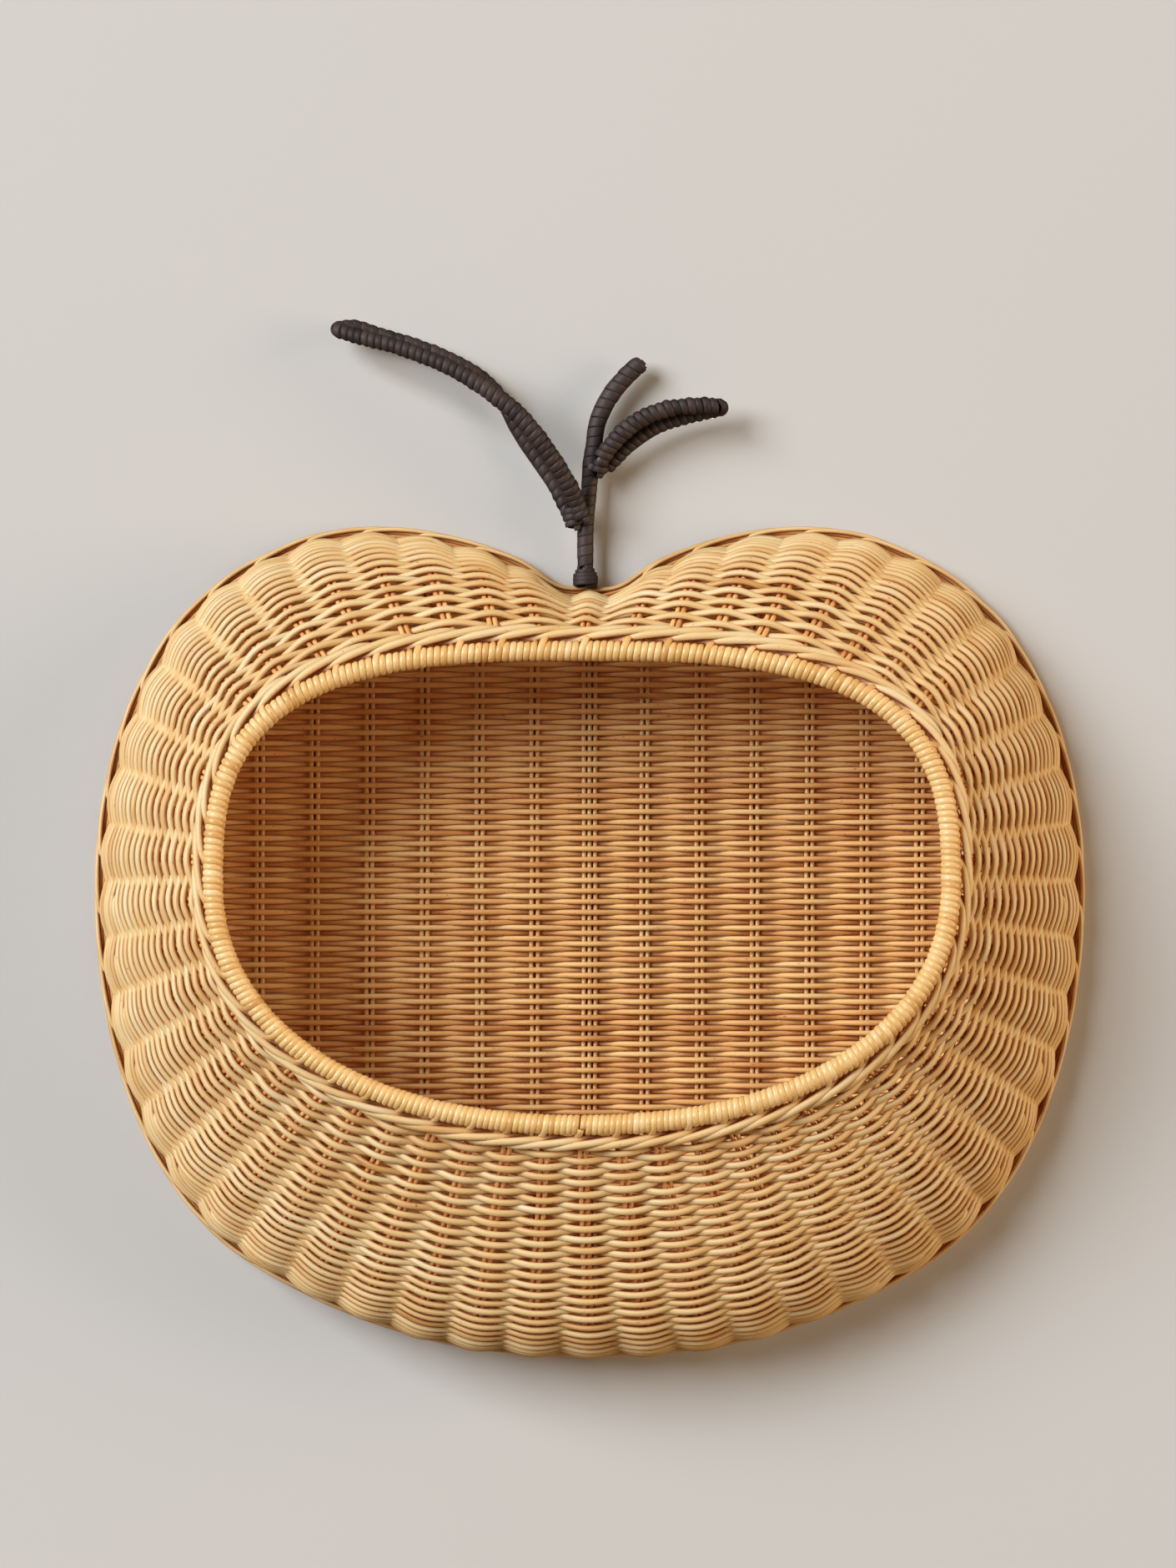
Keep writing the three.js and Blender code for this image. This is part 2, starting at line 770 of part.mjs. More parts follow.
add('stem_wire', stemWire(), wireMetal);
const cuff = stemCuff();
cuff.translate(stemFoot.x, stemFoot.y, stemFoot.z);
add('stem_cuff', cuff, darkCane);
add('stem_binding', stemWinding(), darkCane);
add('stem_pin', pinHead(), pinMetal);
const leftLeaf = leafCurve(leftLeafShares, leftLeafLength, leftLeafHeight, leftLeafOffset);
add('left_leaf_wire', leafWire(leftLeaf, leftLeafSteps), wireMetal);
add('left_leaf_binding', leafBinding(leftLeaf, leftLeafSteps), darkCane);
const rightLeaf = leafCurve(rightLeafShares, rightLeafLength, rightLeafHeight, rightLeafOffset);
add('right_leaf_wire', leafWire(rightLeaf, rightLeafSteps), wireMetal);
add('right_leaf_binding', leafBinding(rightLeaf, rightLeafSteps), darkCane);

export default basket;
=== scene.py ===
# %% [markdown]
# # A rattan wall basket with a leafy stem
# The basket hangs flat on a wall. Its back is a panel of fine rods, and a bulging wall of thicker rods grows out of
# the back's outline and closes in to a wide oval mouth. This file dresses the basket's measured solids with the
# real strands, every rod and every turn of cane, because it is their shadows that make wicker look like wicker.

# %% The frame and its box
import math

import bpy
import numpy as np
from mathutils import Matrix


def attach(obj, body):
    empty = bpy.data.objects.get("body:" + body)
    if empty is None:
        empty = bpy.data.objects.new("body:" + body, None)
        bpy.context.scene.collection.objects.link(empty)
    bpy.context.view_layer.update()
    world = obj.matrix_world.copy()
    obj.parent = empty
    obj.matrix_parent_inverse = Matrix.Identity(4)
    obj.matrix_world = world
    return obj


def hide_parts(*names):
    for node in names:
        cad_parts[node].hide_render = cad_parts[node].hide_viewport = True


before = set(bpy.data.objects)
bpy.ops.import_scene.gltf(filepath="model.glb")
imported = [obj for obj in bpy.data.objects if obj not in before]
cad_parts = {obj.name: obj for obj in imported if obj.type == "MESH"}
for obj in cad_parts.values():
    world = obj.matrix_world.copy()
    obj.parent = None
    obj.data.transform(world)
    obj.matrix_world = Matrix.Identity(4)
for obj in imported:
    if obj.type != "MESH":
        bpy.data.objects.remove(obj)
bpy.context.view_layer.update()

MM = 0.001
TAU = 2 * math.pi

# %% [markdown]
# ## Camera
# The photograph was taken straight on from far away, so the camera stands two metres off the wall. Its long lens
# follows from the 635 mm of wall that fill the picture's height.

# %% Camera
CAMERA_DISTANCE = 2.0
PICTURE_HEIGHT = 0.6347
CAMERA_X, CAMERA_Z = -0.000675, 0.06345
SENSOR_WIDTH = 36
scene = bpy.context.scene


def add_object(name, data):
    """Puts data, such as a mesh or a lamp, into the scene as a named object."""
    made = bpy.data.objects.new(name, data)
    scene.collection.objects.link(made)
    return made


camera_data = bpy.data.cameras.new("camera")
camera_data.sensor_width = SENSOR_WIDTH
camera_data.lens = SENSOR_WIDTH * CAMERA_DISTANCE / PICTURE_HEIGHT
camera = add_object("camera", camera_data)
camera.location = (CAMERA_X, -CAMERA_DISTANCE, CAMERA_Z)
camera.rotation_euler = (math.pi / 2, 0, 0)
scene.camera = camera

# %% [markdown]
# ## Small tools for materials
# A material is a chain of nodes, each fed by the one before. These helpers make a node and wire it up in one line.

# %% Node helpers
def new_material(name):
    """An empty material and its node tree."""
    material = bpy.data.materials.new(name)
    material.use_nodes = True
    material.node_tree.nodes.clear()
    return material, material.node_tree


def feed(tree, socket, value):
    """Wires a socket to another socket, or sets it to a plain value."""
    if isinstance(value, bpy.types.NodeSocket):
        tree.links.new(value, socket)
    else:
        socket.default_value = value


def node(tree, kind, **settings):
    """Makes a node and gives back its outputs. A setting names a property or, with _ for a space, an input."""
    made = tree.nodes.new("ShaderNode" + kind)
    for key, value in settings.items():
        if hasattr(made, key) and key not in made.inputs:
            setattr(made, key, value)
        else:
            feed(tree, made.inputs[key.replace("_", " ")], value)
    return made.outputs


def in_order(tree, kind, *values, **settings):
    """Makes a node, feeds its first inputs in their order, and gives back its first output."""
    output = node(tree, kind, **settings)[0]
    for socket, value in zip(output.node.inputs, values):
        feed(tree, socket, value)
    return output


def calculate(tree, operation, *values):
    """One arithmetic step. Numbers and sockets both work."""
    return in_order(tree, "Math", *values, operation=operation)


def noise(tree, place, scale, detail):
    """Noise from 0 to 1 that changes about scale times in one unit of place."""
    return node(tree, "TexNoise", Vector=place, Scale=scale, Detail=detail)["Fac"]


def ranged(tree, value, low, high, to_low=0.0, to_high=1.0):
    """Low becomes to_low and high becomes to_high, in a straight line between them and level beyond."""
    limits = {"From_Min": low, "From_Max": high, "To_Min": to_low, "To_Max": to_high}
    return node(tree, "MapRange", Value=value, **limits)["Result"]


def mixed(tree, share, first, second, blend="MIX"):
    """The first colour at share 0, and the second one, or the blend of both, at share 1."""
    output = node(tree, "Mix", data_type="RGBA", blend_type=blend)[2]
    for index, value in ((0, share), (6, first), (7, second)):
        feed(tree, output.node.inputs[index], value)
    return output


def colour(*rgb):
    """A colour as seen on a screen, from 0 to 255, turned into the linear numbers that a shader reads."""
    share = np.array(rgb) / 255
    linear = np.where(share <= 0.04045, share / 12.92, ((share + 0.055) / 1.055) ** 2.4)
    return (*linear.tolist(), 1.0)


# %% [markdown]
# ## Rattan and cane
# Rattan is a climbing palm. Its inner rod is pale gold, dull and faintly striped, and its peeled skin, called cane,
# is harder and shinier. One rod differs from the next, so every vertex carries a tint, and the stripes are noise
# stretched along the strand's own UV map, which is in metres.

# %% Strand material
STRIPE_STRETCH, SPECK_STRETCH, BLOTCHES_PER_METRE = (90, 2600, 1), (500, 900, 1), 70
STRIPE_SHARE, SPECK_SHARE, SPECK_FROM, SPECK_TO = 0.45, 0.35, 0.70, 0.78
# How far the painted shade in gaps looks for nearby strands, and the openness below which that shade is full.
GAP_REACH, GAP_CLOSED = 0.006, 0.1
STRIPE_HEIGHT, COAT_ROUGHNESS = 0.0002, 0.3


def strand_material(name, colours, gap_shade, unshaded_from=0.7, roughness=0.5, stripe_bump=0.35, blotch_share=0.3, coat=0.0):
    """The sum of tint, stripes and blotches picks a colour from a ramp of dark to pale. In narrow gaps, found by
    ambient occlusion, it is multiplied by a shade colour: painted shade, as light there has already bounced off other
    strands."""
    material, tree = new_material(name)
    uv = node(tree, "UVMap", uv_map="along")["UV"]
    for_stripes, for_specks = (
        node(tree, "Mapping", Vector=uv, Scale=stretch)["Vector"] for stretch in (STRIPE_STRETCH, SPECK_STRETCH))
    stripes = noise(tree, for_stripes, 1.0, 3.0)
    specks = ranged(tree, noise(tree, for_specks, 1.0, 1.0), SPECK_FROM, SPECK_TO)
    blotches = noise(tree, node(tree, "TexCoord")["Object"], BLOTCHES_PER_METRE, 2.0)
    total = node(tree, "Attribute", attribute_name="tint")["Fac"]
    for pattern, share in ((stripes, STRIPE_SHARE), (blotches, blotch_share)):
        total = calculate(tree, "ADD", total, calculate(tree, "MULTIPLY_ADD", pattern, share, -share / 2))
    total = calculate(tree, "SUBTRACT", total, calculate(tree, "MULTIPLY", specks, SPECK_SHARE))
    ramp = node(tree, "ValToRGB", Fac=total)["Color"]
    stops = ramp.node.color_ramp.elements
    stops[0].color, stops[1].color = colour(*colours[0]), colour(*colours[-1])
    for i, rgb in enumerate(colours[1:-1], 1):
        stops.new(i / (len(colours) - 1)).color = colour(*rgb)
    # Painted shade: ambient occlusion finds the narrow gaps between strands, and there the colour is multiplied by
    # the shade colour.
    openness = node(tree, "AmbientOcclusion", samples=6, Distance=GAP_REACH)["AO"]
    gap_shade_share = calculate(tree, "SUBTRACT", 1.0, ranged(tree, openness, GAP_CLOSED, unshaded_from))
    bump = node(tree, "Bump", Height=stripes, Strength=stripe_bump, Distance=STRIPE_HEIGHT)["Normal"]
    base = mixed(tree, gap_shade_share, ramp, colour(*gap_shade), "MULTIPLY")
    rough = ranged(tree, stripes, 0, 1, roughness - 0.1, roughness + 0.12)
    shader = node(
        tree, "BsdfPrincipled", Base_Color=base, Roughness=rough, Normal=bump, Coat_Weight=coat,
        Coat_Roughness=COAT_ROUGHNESS)
    node(tree, "OutputMaterial", Surface=shader["BSDF"])
    return material


rod_colours = [(150, 96, 45), (211, 161, 96), (234, 200, 140), (238, 216, 168), (241, 228, 197)]
back_colours = [(154, 87, 41), (219, 152, 86), (243, 192, 121), (247, 212, 147), (249, 226, 179)]
cane_colours = [(150, 96, 46), (212, 162, 92), (236, 194, 124), (245, 212, 152), (251, 229, 184)]
stem_colours = [(24, 17, 17), (41, 31, 31), (55, 43, 42), (69, 57, 55), (93, 81, 78)]
tape_colours = [(28, 21, 21), (46, 36, 36), (58, 46, 45), (71, 59, 57), (95, 83, 80)]
# Painted shade colours for narrow gaps: pale for the wall's rods and stakes, dark brown for the back and its uprights
# inside the basket, where less light reaches, and grey for the dark cane.
pale_gap_shade, brown_gap_shade, dark_gap_shade = (212, 134, 70), (140, 54, 16), (140, 128, 122)
rod_look = strand_material("rattan_rod", rod_colours, pale_gap_shade, unshaded_from=0.56, roughness=0.46)
back_look = strand_material("rattan_back", back_colours, brown_gap_shade, unshaded_from=0.46)
stake_look = strand_material("rattan_stake", back_colours, pale_gap_shade, unshaded_from=0.36)
back_stake_look = strand_material("rattan_upright", back_colours, brown_gap_shade, unshaded_from=0.34)
cane_look = strand_material(
    "peeled_cane", cane_colours, pale_gap_shade, roughness=0.34, stripe_bump=0.25, blotch_share=0.25, coat=0.15)
stem_look = strand_material("dark_cane", stem_colours, dark_gap_shade, roughness=0.62, stripe_bump=0.5)
tape_look = strand_material(
    "dark_tape", tape_colours, dark_gap_shade, roughness=0.6, stripe_bump=0.5, blotch_share=0.25)

# %% [markdown]
# ## Lines that close
# The back's outline is a Catmull-Rom line, which passes through all its points, here in thousandths of the basket's
# half width and half height. Taking the square root of their distances, the centripetal kind, keeps it from looping
# where points are close. It is then cut into equal steps.

# %% Outline of the back
BASKET_WIDTH, BASKET_HEIGHT, CLEARANCE = 400, 335, 0.3
OUTLINE_STEPS, LINE_FINENESS = 720, 48
PARTS = 1000
outline_points = [
    (0, 857), (55, 860), (143, 924), (290, 982), (430, 1000), (556, 982), (640, 943), (720, 893), (789, 827),
    (851, 747), (937, 557), (984, 350), (1000, 142), (991, -65), (960, -269), (903, -464), (825, -620), (735, -734),
    (610, -830), (460, -912), (305, -968), (153, -994), (0, -1000),
]


def length_so_far(points):
    """At each point of a line, the sum of the steps before it."""
    return np.hstack([0, np.cumsum(np.linalg.norm(np.diff(points, axis=0), axis=1))])


def read_off(wanted, places, table):
    """Every column of a table at the wanted places, by straight lines between its rows."""
    return np.stack([np.interp(wanted, places, column) for column in table.T], -1)


def even_steps(points, count, endpoint=False):
    """Cuts a line into equal lengths: positions are read off against the length so far."""
    so_far = length_so_far(points)
    return read_off(np.linspace(0, so_far[-1], count, endpoint=endpoint), so_far, points)


def catmull_rom(p0, p1, p2, p3):
    """A cubic from every p1 to its p2, with slopes taken from the neighbours p0 and p3, weighted by the square
    roots of the distances."""
    d0, d1, d2 = (np.sqrt(np.linalg.norm(b - a, axis=1))[:, None] for a, b in ((p0, p1), (p1, p2), (p2, p3)))
    m1 = ((p1 - p0) / d0 - (p2 - p0) / (d0 + d1) + (p2 - p1) / d1) * d1
    m2 = ((p2 - p1) / d1 - (p3 - p1) / (d1 + d2) + (p3 - p2) / d2) * d1
    t = np.linspace(0, 1, LINE_FINENESS, endpoint=False)[None, :, None]
    a, b, c, d = (v[:, None, :] for v in (p1, m1, -3 * p1 + 3 * p2 - 2 * m1 - m2, 2 * p1 - 2 * p2 + m1 + m2))
    return (a + b * t + c * t**2 + d * t**3).reshape(-1, p1.shape[1])


half = np.array(outline_points) / PARTS * (BASKET_WIDTH / 2, BASKET_HEIGHT / 2)
whole = np.vstack([half, half[-2:0:-1] * (-1, 1)])
fine = catmull_rom(*(np.roll(whole, shift, axis=0) for shift in (1, 0, -1, -2)))
outline = even_steps(np.vstack([fine, fine[:1]]), OUTLINE_STEPS)

# %% [markdown]
# ## Mouth
# The mouth is an oval, fuller above than below. A superellipse gives such a shape: the power 2 is a plain ellipse,
# and higher powers square it off. The mouth stands out from the wall least at the top.

# %% Mouth line
MOUTH_WIDTH, MOUTH_RISE, MOUTH_DROP, MOUTH_LEVEL, MOUTH_SHIFT = 286, 88, 95.5, 27.4, -3
DEPTH_TOP, DEPTH_SIDE, DEPTH_BOTTOM = 72, 86, 94
UPPER_ROUNDNESS, LOWER_ROUNDNESS = 2.9, 2.2
COLUMNS = 52
CROWDING_SHARE = 0.0136


def mouth_line():
    """The superellipse by angle, clockwise from the top. Its depth is a middle one, changed by the sine of the
    angle from bottom to top and by the cosine of twice the angle at the sides."""
    angle = TAU / 4 - np.arange(OUTLINE_STEPS) / OUTLINE_STEPS * TAU
    c, s = np.cos(angle), np.sin(angle)
    power = np.where(s > 0, UPPER_ROUNDNESS, LOWER_ROUNDNESS)
    reach = (np.abs(c) ** power + np.abs(s) ** power) ** (-1 / power)
    middle = (DEPTH_TOP + DEPTH_BOTTOM) / 4 + DEPTH_SIDE / 2
    depth = middle + (DEPTH_TOP - DEPTH_BOTTOM) / 2 * s + (DEPTH_SIDE - middle) * (c * c - s * s)
    height = np.where(s > 0, MOUTH_RISE, MOUTH_DROP)
    points = np.stack([MOUTH_SHIFT + c * MOUTH_WIDTH / 2 * reach, -depth, MOUTH_LEVEL + s * height * reach], -1)
    return even_steps(np.vstack([points, points[:1]]), OUTLINE_STEPS)


mouth = mouth_line()


def look_up(table, share):
    """The point at a share of the way round a closed table, by straight lines between its points."""
    place = np.mod(share, 1) * len(table)
    index = np.floor(place).astype(int)
    part = (place - index)[..., None]
    return table[index % len(table)] * (1 - part) + table[(index + 1) % len(table)] * part


def mouth_point(station):
    """A station counts columns of the wall round the basket, clockwise from the top."""
    share = station / COLUMNS
    return look_up(mouth, share + CROWDING_SHARE * np.sin(TAU * share))


def unit(vectors):
    """Vectors shortened or stretched to the length 1."""
    return vectors / np.linalg.norm(vectors, axis=-1, keepdims=True)


def square_to(direction, vectors):
    """Vectors without their share along a direction, and of length 1."""
    return unit(vectors - (vectors * direction).sum(-1, keepdims=True) * direction)


def inset_point(share, inset, depth):
    """A point inside the outline, square to it, at a depth in front of the wall."""
    share, inset, depth = np.broadcast_arrays(np.asarray(share, float), inset, depth)
    step = 1 / OUTLINE_STEPS
    ahead = unit(look_up(outline, share + step) - look_up(outline, share - step))
    at = look_up(outline, share) + np.stack([ahead[..., 1], -ahead[..., 0]], -1) * inset[..., None]
    return np.stack([at[..., 0], -depth, at[..., 1]], -1)


def outward(station):
    """The direction away from the outline and square to it."""
    share = station / COLUMNS
    return inset_point(share, 0, 0) - inset_point(share, 1, 0)


# %% [markdown]
# ## The bulging wall as one surface
# Every stake of the wall leaves the back square to it and bends in to the mouth. One cubic Bezier curve per
# station draws that bend, and side by side they make a surface with two parameters: the station round the basket
# and the share of the way from the border to the mouth. All weaving of the wall is laid on it.

# %% Wall surface
WALL_INSET, WIRE_DEPTH, WALL_END_BACK = 5.5, 6.4, 11.3
RISE_SHARE, SIDE_RISE_SHARE, SIDE_LEAN_SHARE = 0.6, 0.2, 0.8
BOTTOM_LEAN_SHARE, BOTTOM_SWELL = 0.55, 8
TOP_SHOULDER, BOTTOM_SHOULDER = 0.3, 0.7
GRID_PER_COLUMN, GRID_LEVELS, BEZIER_STEPS = 20, 121, 241


def bezier(p0, p1, p2, p3, t):
    """The cubic Bezier curve: each point weighted by the share of the way t, and by what is left of it."""
    t = t[None, :, None]
    p0, p1, p2, p3 = (p[:, None, :] for p in (p0, p1, p2, p3))
    return (1 - t) ** 3 * p0 + 3 * (1 - t) ** 2 * t * p1 + 3 * (1 - t) * t**2 * p2 + t**3 * p3


def wall_grid():
    """Bezier curves at every station, each cut again at equal shares of its own length."""
    station = np.arange(COLUMNS * GRID_PER_COLUMN) / GRID_PER_COLUMN
    start = inset_point(station / COLUMNS, WALL_INSET, WIRE_DEPTH)
    end = mouth_point(station)
    side = np.sin(TAU * station / COLUMNS) ** 2
    rise = (start[:, 1] - end[:, 1]) * (RISE_SHARE + (SIDE_RISE_SHARE - RISE_SHARE) * side)
    bottom = ((1 - np.cos(TAU * station / COLUMNS)) / 2) ** 4
    shoulder = TOP_SHOULDER + (BOTTOM_SHOULDER - TOP_SHOULDER) * bottom
    lean = SIDE_LEAN_SHARE * side + BOTTOM_LEAN_SHARE * bottom
    back_again = (start - end) * np.stack([np.ones_like(side), lean, np.ones_like(side)], -1)
    above_start = start - rise[:, None] * (0, 1, 0) + unit(outward(station)) * (BOTTOM_SWELL * bottom)[:, None]
    fine = bezier(start, above_start, end + back_again * shoulder[:, None], end, np.linspace(0, 1, BEZIER_STEPS))
    grid = np.array([even_steps(line, GRID_LEVELS, endpoint=True) for line in fine])
    return grid, np.array([length_so_far(line)[-1] for line in fine])


wall_points, wall_lengths = wall_grid()
wall_along = unit(np.gradient(wall_points, axis=1))
wall_round = np.roll(wall_points, -1, axis=0) - np.roll(wall_points, 1, axis=0)
wall_round = square_to(wall_along, wall_round)
wall_out = np.cross(wall_along, wall_round)


def from_grid(table, station, share):
    """Reads a table of the surface between its four nearest entries, going round at its end."""
    along = np.clip(share, 0, 1) * (GRID_LEVELS - 1)
    j = np.minimum(np.floor(along).astype(int), GRID_LEVELS - 2)
    place = np.mod(station, COLUMNS) * GRID_PER_COLUMN
    i = np.floor(place).astype(int)
    u, v = (place - i)[..., None], (along - j)[..., None]
    i, k = i % len(table), (i + 1) % len(table)
    return (table[i, j] * (1 - v) + table[i, j + 1] * v) * (1 - u) + (table[k, j] * (1 - v) + table[k, j + 1] * v) * u


def wall_length(station):
    """The wall's length from the border to the mouth, read between the stations of the grid."""
    return np.interp(station, np.arange(len(wall_lengths)) / GRID_PER_COLUMN, wall_lengths, period=COLUMNS)


def on_wall(station, share, lift):
    """A point on the wall's middle, raised out of it, with the direction out of the wall."""
    station, share, lift = np.broadcast_arrays(station, share, lift)
    out = unit(from_grid(wall_out, station, share))
    return from_grid(wall_points, station, share) + out * lift[..., None], out


# %% [markdown]
# ## From lines to rods
# A rod is a ring of points carried along a line, laid out in a given direction, made square to the line, and in
# one square to both. Whole rods are computed at once as arrays, and the mesh gets its vertices and faces in bulk.
# The UV map holds metres along and around.

# %% Rod builder
rng = np.random.default_rng(7)
FORWARD = np.array([0.0, -1.0, 0.0])


class Strands:
    """Gathers vertices, faces, UV and tint of many strands, and makes one mesh of them."""

    def __init__(self):
        self.points, self.quads, self.uvs, self.tints, self.caps = [], [], [], [], []
        self.count = 0

    def sweep(self, line, side, section, tint, closed=False):
        """Carries a section of (steps or 1, corners, 2) along a line: first across, then out, in the direction
        given in side. Corners go round from out toward across."""
        steps = len(line)
        along = np.roll(line, -1, axis=0) - np.roll(line, 1, axis=0) if closed else np.gradient(line, axis=0)
        along = unit(along)
        out = square_to(along, side)
        across = np.cross(along, out)
        section = np.broadcast_to(section, (steps, section.shape[-2], 2))
        corners = section.shape[1]
        rings = line[:, None] + section[..., :1] * across[:, None] + section[..., 1:] * out[:, None]
        i = np.arange(steps if closed else steps - 1)[:, None]
        j = np.arange(corners)[None]
        k, n = (i + 1) % steps, (j + 1) % corners
        quads = np.stack([i * corners + j, i * corners + n, k * corners + n, k * corners + j], -1).reshape(-1, 4)
        gone = length_so_far(line) * MM
        gone = np.append(gone, gone[-1] + np.linalg.norm(line[-1] - line[0]) * MM) + rng.uniform(0, 9)
        edge = length_so_far(np.vstack([section[0], section[0][:1]])) * MM
        i, j = np.broadcast_arrays(i, j)
        corners_of_quad = ((i, j), (i, j + 1), (i + 1, j + 1), (i + 1, j))
        uv = np.stack([np.stack([gone[a], edge[b]], -1) for a, b in corners_of_quad], 2)
        self.points.append(rings.reshape(-1, 3))
        self.quads.append(quads + self.count)
        self.uvs.append(uv.reshape(-1, 2))
        self.tints.append(np.repeat(np.broadcast_to(tint, steps), corners))
        if not closed:
            self.caps.append(self.count + np.arange(corners)[::-1])
            self.caps.append(self.count + (steps - 1) * corners + np.arange(corners))
        self.count += steps * corners

    def rod(self, line, side, width, thickness, tint, sides=8, closed=False):
        """Sweeps an ellipse along a line, width across and thickness out of the surface."""
        angle = np.arange(sides) / sides * TAU
        width, thickness = (np.asarray(v, float)[..., None] for v in (width, thickness))
        section = np.stack([width / 2 * np.sin(angle), thickness / 2 * np.cos(angle)], -1)
        self.sweep(line, side, section, tint, closed)

    def mesh(self, name, material, slot, *nodes):
        """Writes the arrays into a mesh in bulk, and puts the piece in place of its solids."""
        points = np.vstack(self.points) * MM
        quads = np.vstack(self.quads)
        loops = np.hstack([quads.ravel(), *self.caps])
        totals = np.array([4] * len(quads) + [len(cap) for cap in self.caps])
        starts = np.hstack([0, np.cumsum(totals)[:-1]])
        mesh = bpy.data.meshes.new(name)
        mesh.vertices.add(len(points))
        mesh.vertices.foreach_set("co", points.astype(np.float32).ravel())
        mesh.loops.add(len(loops))
        mesh.loops.foreach_set("vertex_index", loops.astype(np.int32))
        mesh.polygons.add(len(totals))
        mesh.polygons.foreach_set("loop_start", starts.astype(np.int32))
        mesh.polygons.foreach_set("loop_total", totals.astype(np.int32))
        uv = np.vstack([*self.uvs, np.zeros((len(loops) - quads.size, 2))])
        mesh.uv_layers.new(name="along").data.foreach_set("uv", uv.astype(np.float32).ravel())
        mesh.attributes.new("tint", "FLOAT", "POINT").data.foreach_set(
            "value", np.clip(np.concatenate(self.tints), 0, 1).astype(np.float32))
        mesh.update()
        mesh.validate()
        mesh.polygons.foreach_set("use_smooth", totals == 4)
        mesh.materials.append(material)
        piece = add_object(name, mesh)
        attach(piece, "root")
        if nodes:
            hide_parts(*nodes)
        print(f"{name}: {len(points)} vertices, {int((totals - 2).sum())} triangles")


def drift(count, knots, size, closed=False):
    """Random numbers at a few knots, joined by cosines."""
    values = rng.normal(0, size, knots + 1)
    if closed:
        values[-1] = values[0]
    place = np.linspace(0, knots, count, endpoint=not closed)
    i = np.minimum(place.astype(int), knots - 1)
    part = (1 - np.cos((place - i) * math.pi)) / 2
    return values[i] * (1 - part) + values[i + 1] * part


def rod_tint(middle, count, knots, size, spread=0.06, closed=False):
    """A rod's own tint, a random step away from the middle one, that drifts along the rod."""
    return middle + rng.normal(0, spread) + drift(count, knots, size, closed)


# %% [markdown]
# ## Weft of the wall
# The wall is plain weave: a rod passes outside one pair of stakes and inside the next, and the next rod does the
# opposite. In the notch the wall is half as long from border to mouth as at the bottom, so the maker wove short
# rows, pairs that turn back round a stake. Each row has a weight, the room it takes at a station, and its place is
# the sum of the weights below it, so that rows part smoothly where a short pair begins.

# %% Rows of the wall
FULL_ROWS, OUTER_ROWS, ROW_PITCH = 22, 10, 2.25
ROD, ROD_FLAT, STAKE, SUNK = 2.7, 0.8, 2.0, 0.1
LIFT = (STAKE + ROD * ROD_FLAT) / 2 - SUNK
BOTTOM = COLUMNS / 2
STEPS_PER_COLUMN = 10
ROW_TAPER, ROW_SPREAD, MOST_ROWS = 1.4, 0.09, 99
CROWDED_BELOW, CROWDED_MORE_ABOVE = 0.05, 0.3
WIDTH_PER_PITCH, THINNEST, THICKEST = 1.3, 0.6, 1.1
NOTCH_PINCH = 0.24


def short_row_ends():
    """Columns at which the short pairs turn back: where the wall has room for two rows more."""
    ends = []
    for side in (-1, 1):
        away = np.linspace(BOTTOM - 1, 0, 501)
        room = (wall_length(BOTTOM + side * away) - WALL_END_BACK) / ROW_PITCH - FULL_ROWS
        room = np.maximum.accumulate(room)
        pairs = np.arange(int(room[-1] // 2))
        ends.append(np.interp(2 * pairs + 1, room, away))
    count = min(len(e) for e in ends)
    return np.round(ends[0][:count]).astype(int), np.round(ends[1][:count]).astype(int)


before_bottom, after_bottom = short_row_ends()


def smooth(t):
    """A soft step from 0 to 1: three times t squared less twice t cubed."""
    t = np.clip(t, 0, 1)
    return t * t * (3 - 2 * t)


row_room = 1 + rng.normal(0, ROW_SPREAD, MOST_ROWS)
SHORT_ROWS = 2 * len(before_bottom)
ALL_ROWS = FULL_ROWS + SHORT_ROWS


def row_weights(station):
    """Weights of the outer rows, the short pairs from the shortest on, and the inner rows, at each station. No two
    rods are alike, so each row takes a little more or less room than the next."""
    from_bottom = station - BOTTOM
    shorts = []
    for before, after in zip(before_bottom[::-1], after_bottom[::-1]):
        begun = smooth((from_bottom + before + ROW_TAPER / 2) / ROW_TAPER)
        shorts += [begun * smooth((after + ROW_TAPER / 2 - from_bottom) / ROW_TAPER)] * 2
    full = np.ones((FULL_ROWS, *station.shape))
    weights = np.concatenate([full[:OUTER_ROWS], np.array(shorts).reshape(-1, *station.shape), full[OUTER_ROWS:]])
    return weights * row_room[:ALL_ROWS].reshape(-1, *[1] * station.ndim)


def crowding(station):
    """How much closer the rows lie at the outline than half-way in: hardly at the bottom, a third at the top."""
    return CROWDED_BELOW + CROWDED_MORE_ABOVE * (1 + np.cos(TAU * station / COLUMNS)) / 2


def even_place(station, row):
    """The share of the weights that lies below the middle of a row."""
    weights = row_weights(station)
    return (np.cumsum(weights, axis=0) - weights / 2)[row] / weights.sum(0)


def row_share(station, row):
    """A row's place as a share of the wall's length: its even place less crowding times sin(pi place) / pi, so
    that the rows lie close at the outline and wide at the rim."""
    place = even_place(station, row)
    length = wall_length(station)
    place = place - crowding(station) * np.sin(math.pi * place) / math.pi
    return place * (length - WALL_END_BACK) / length


def rod_width(station, row):
    """Where the wall is short, rods are packed closer and are thinner."""
    weights = row_weights(station)
    pitch = weights[row] / weights.sum(0) * (wall_length(station) - WALL_END_BACK)
    pitch = pitch * (1 - crowding(station) * np.cos(math.pi * even_place(station, row)))
    return np.clip(WIDTH_PER_PITCH * pitch, THINNEST * ROD, THICKEST * ROD)


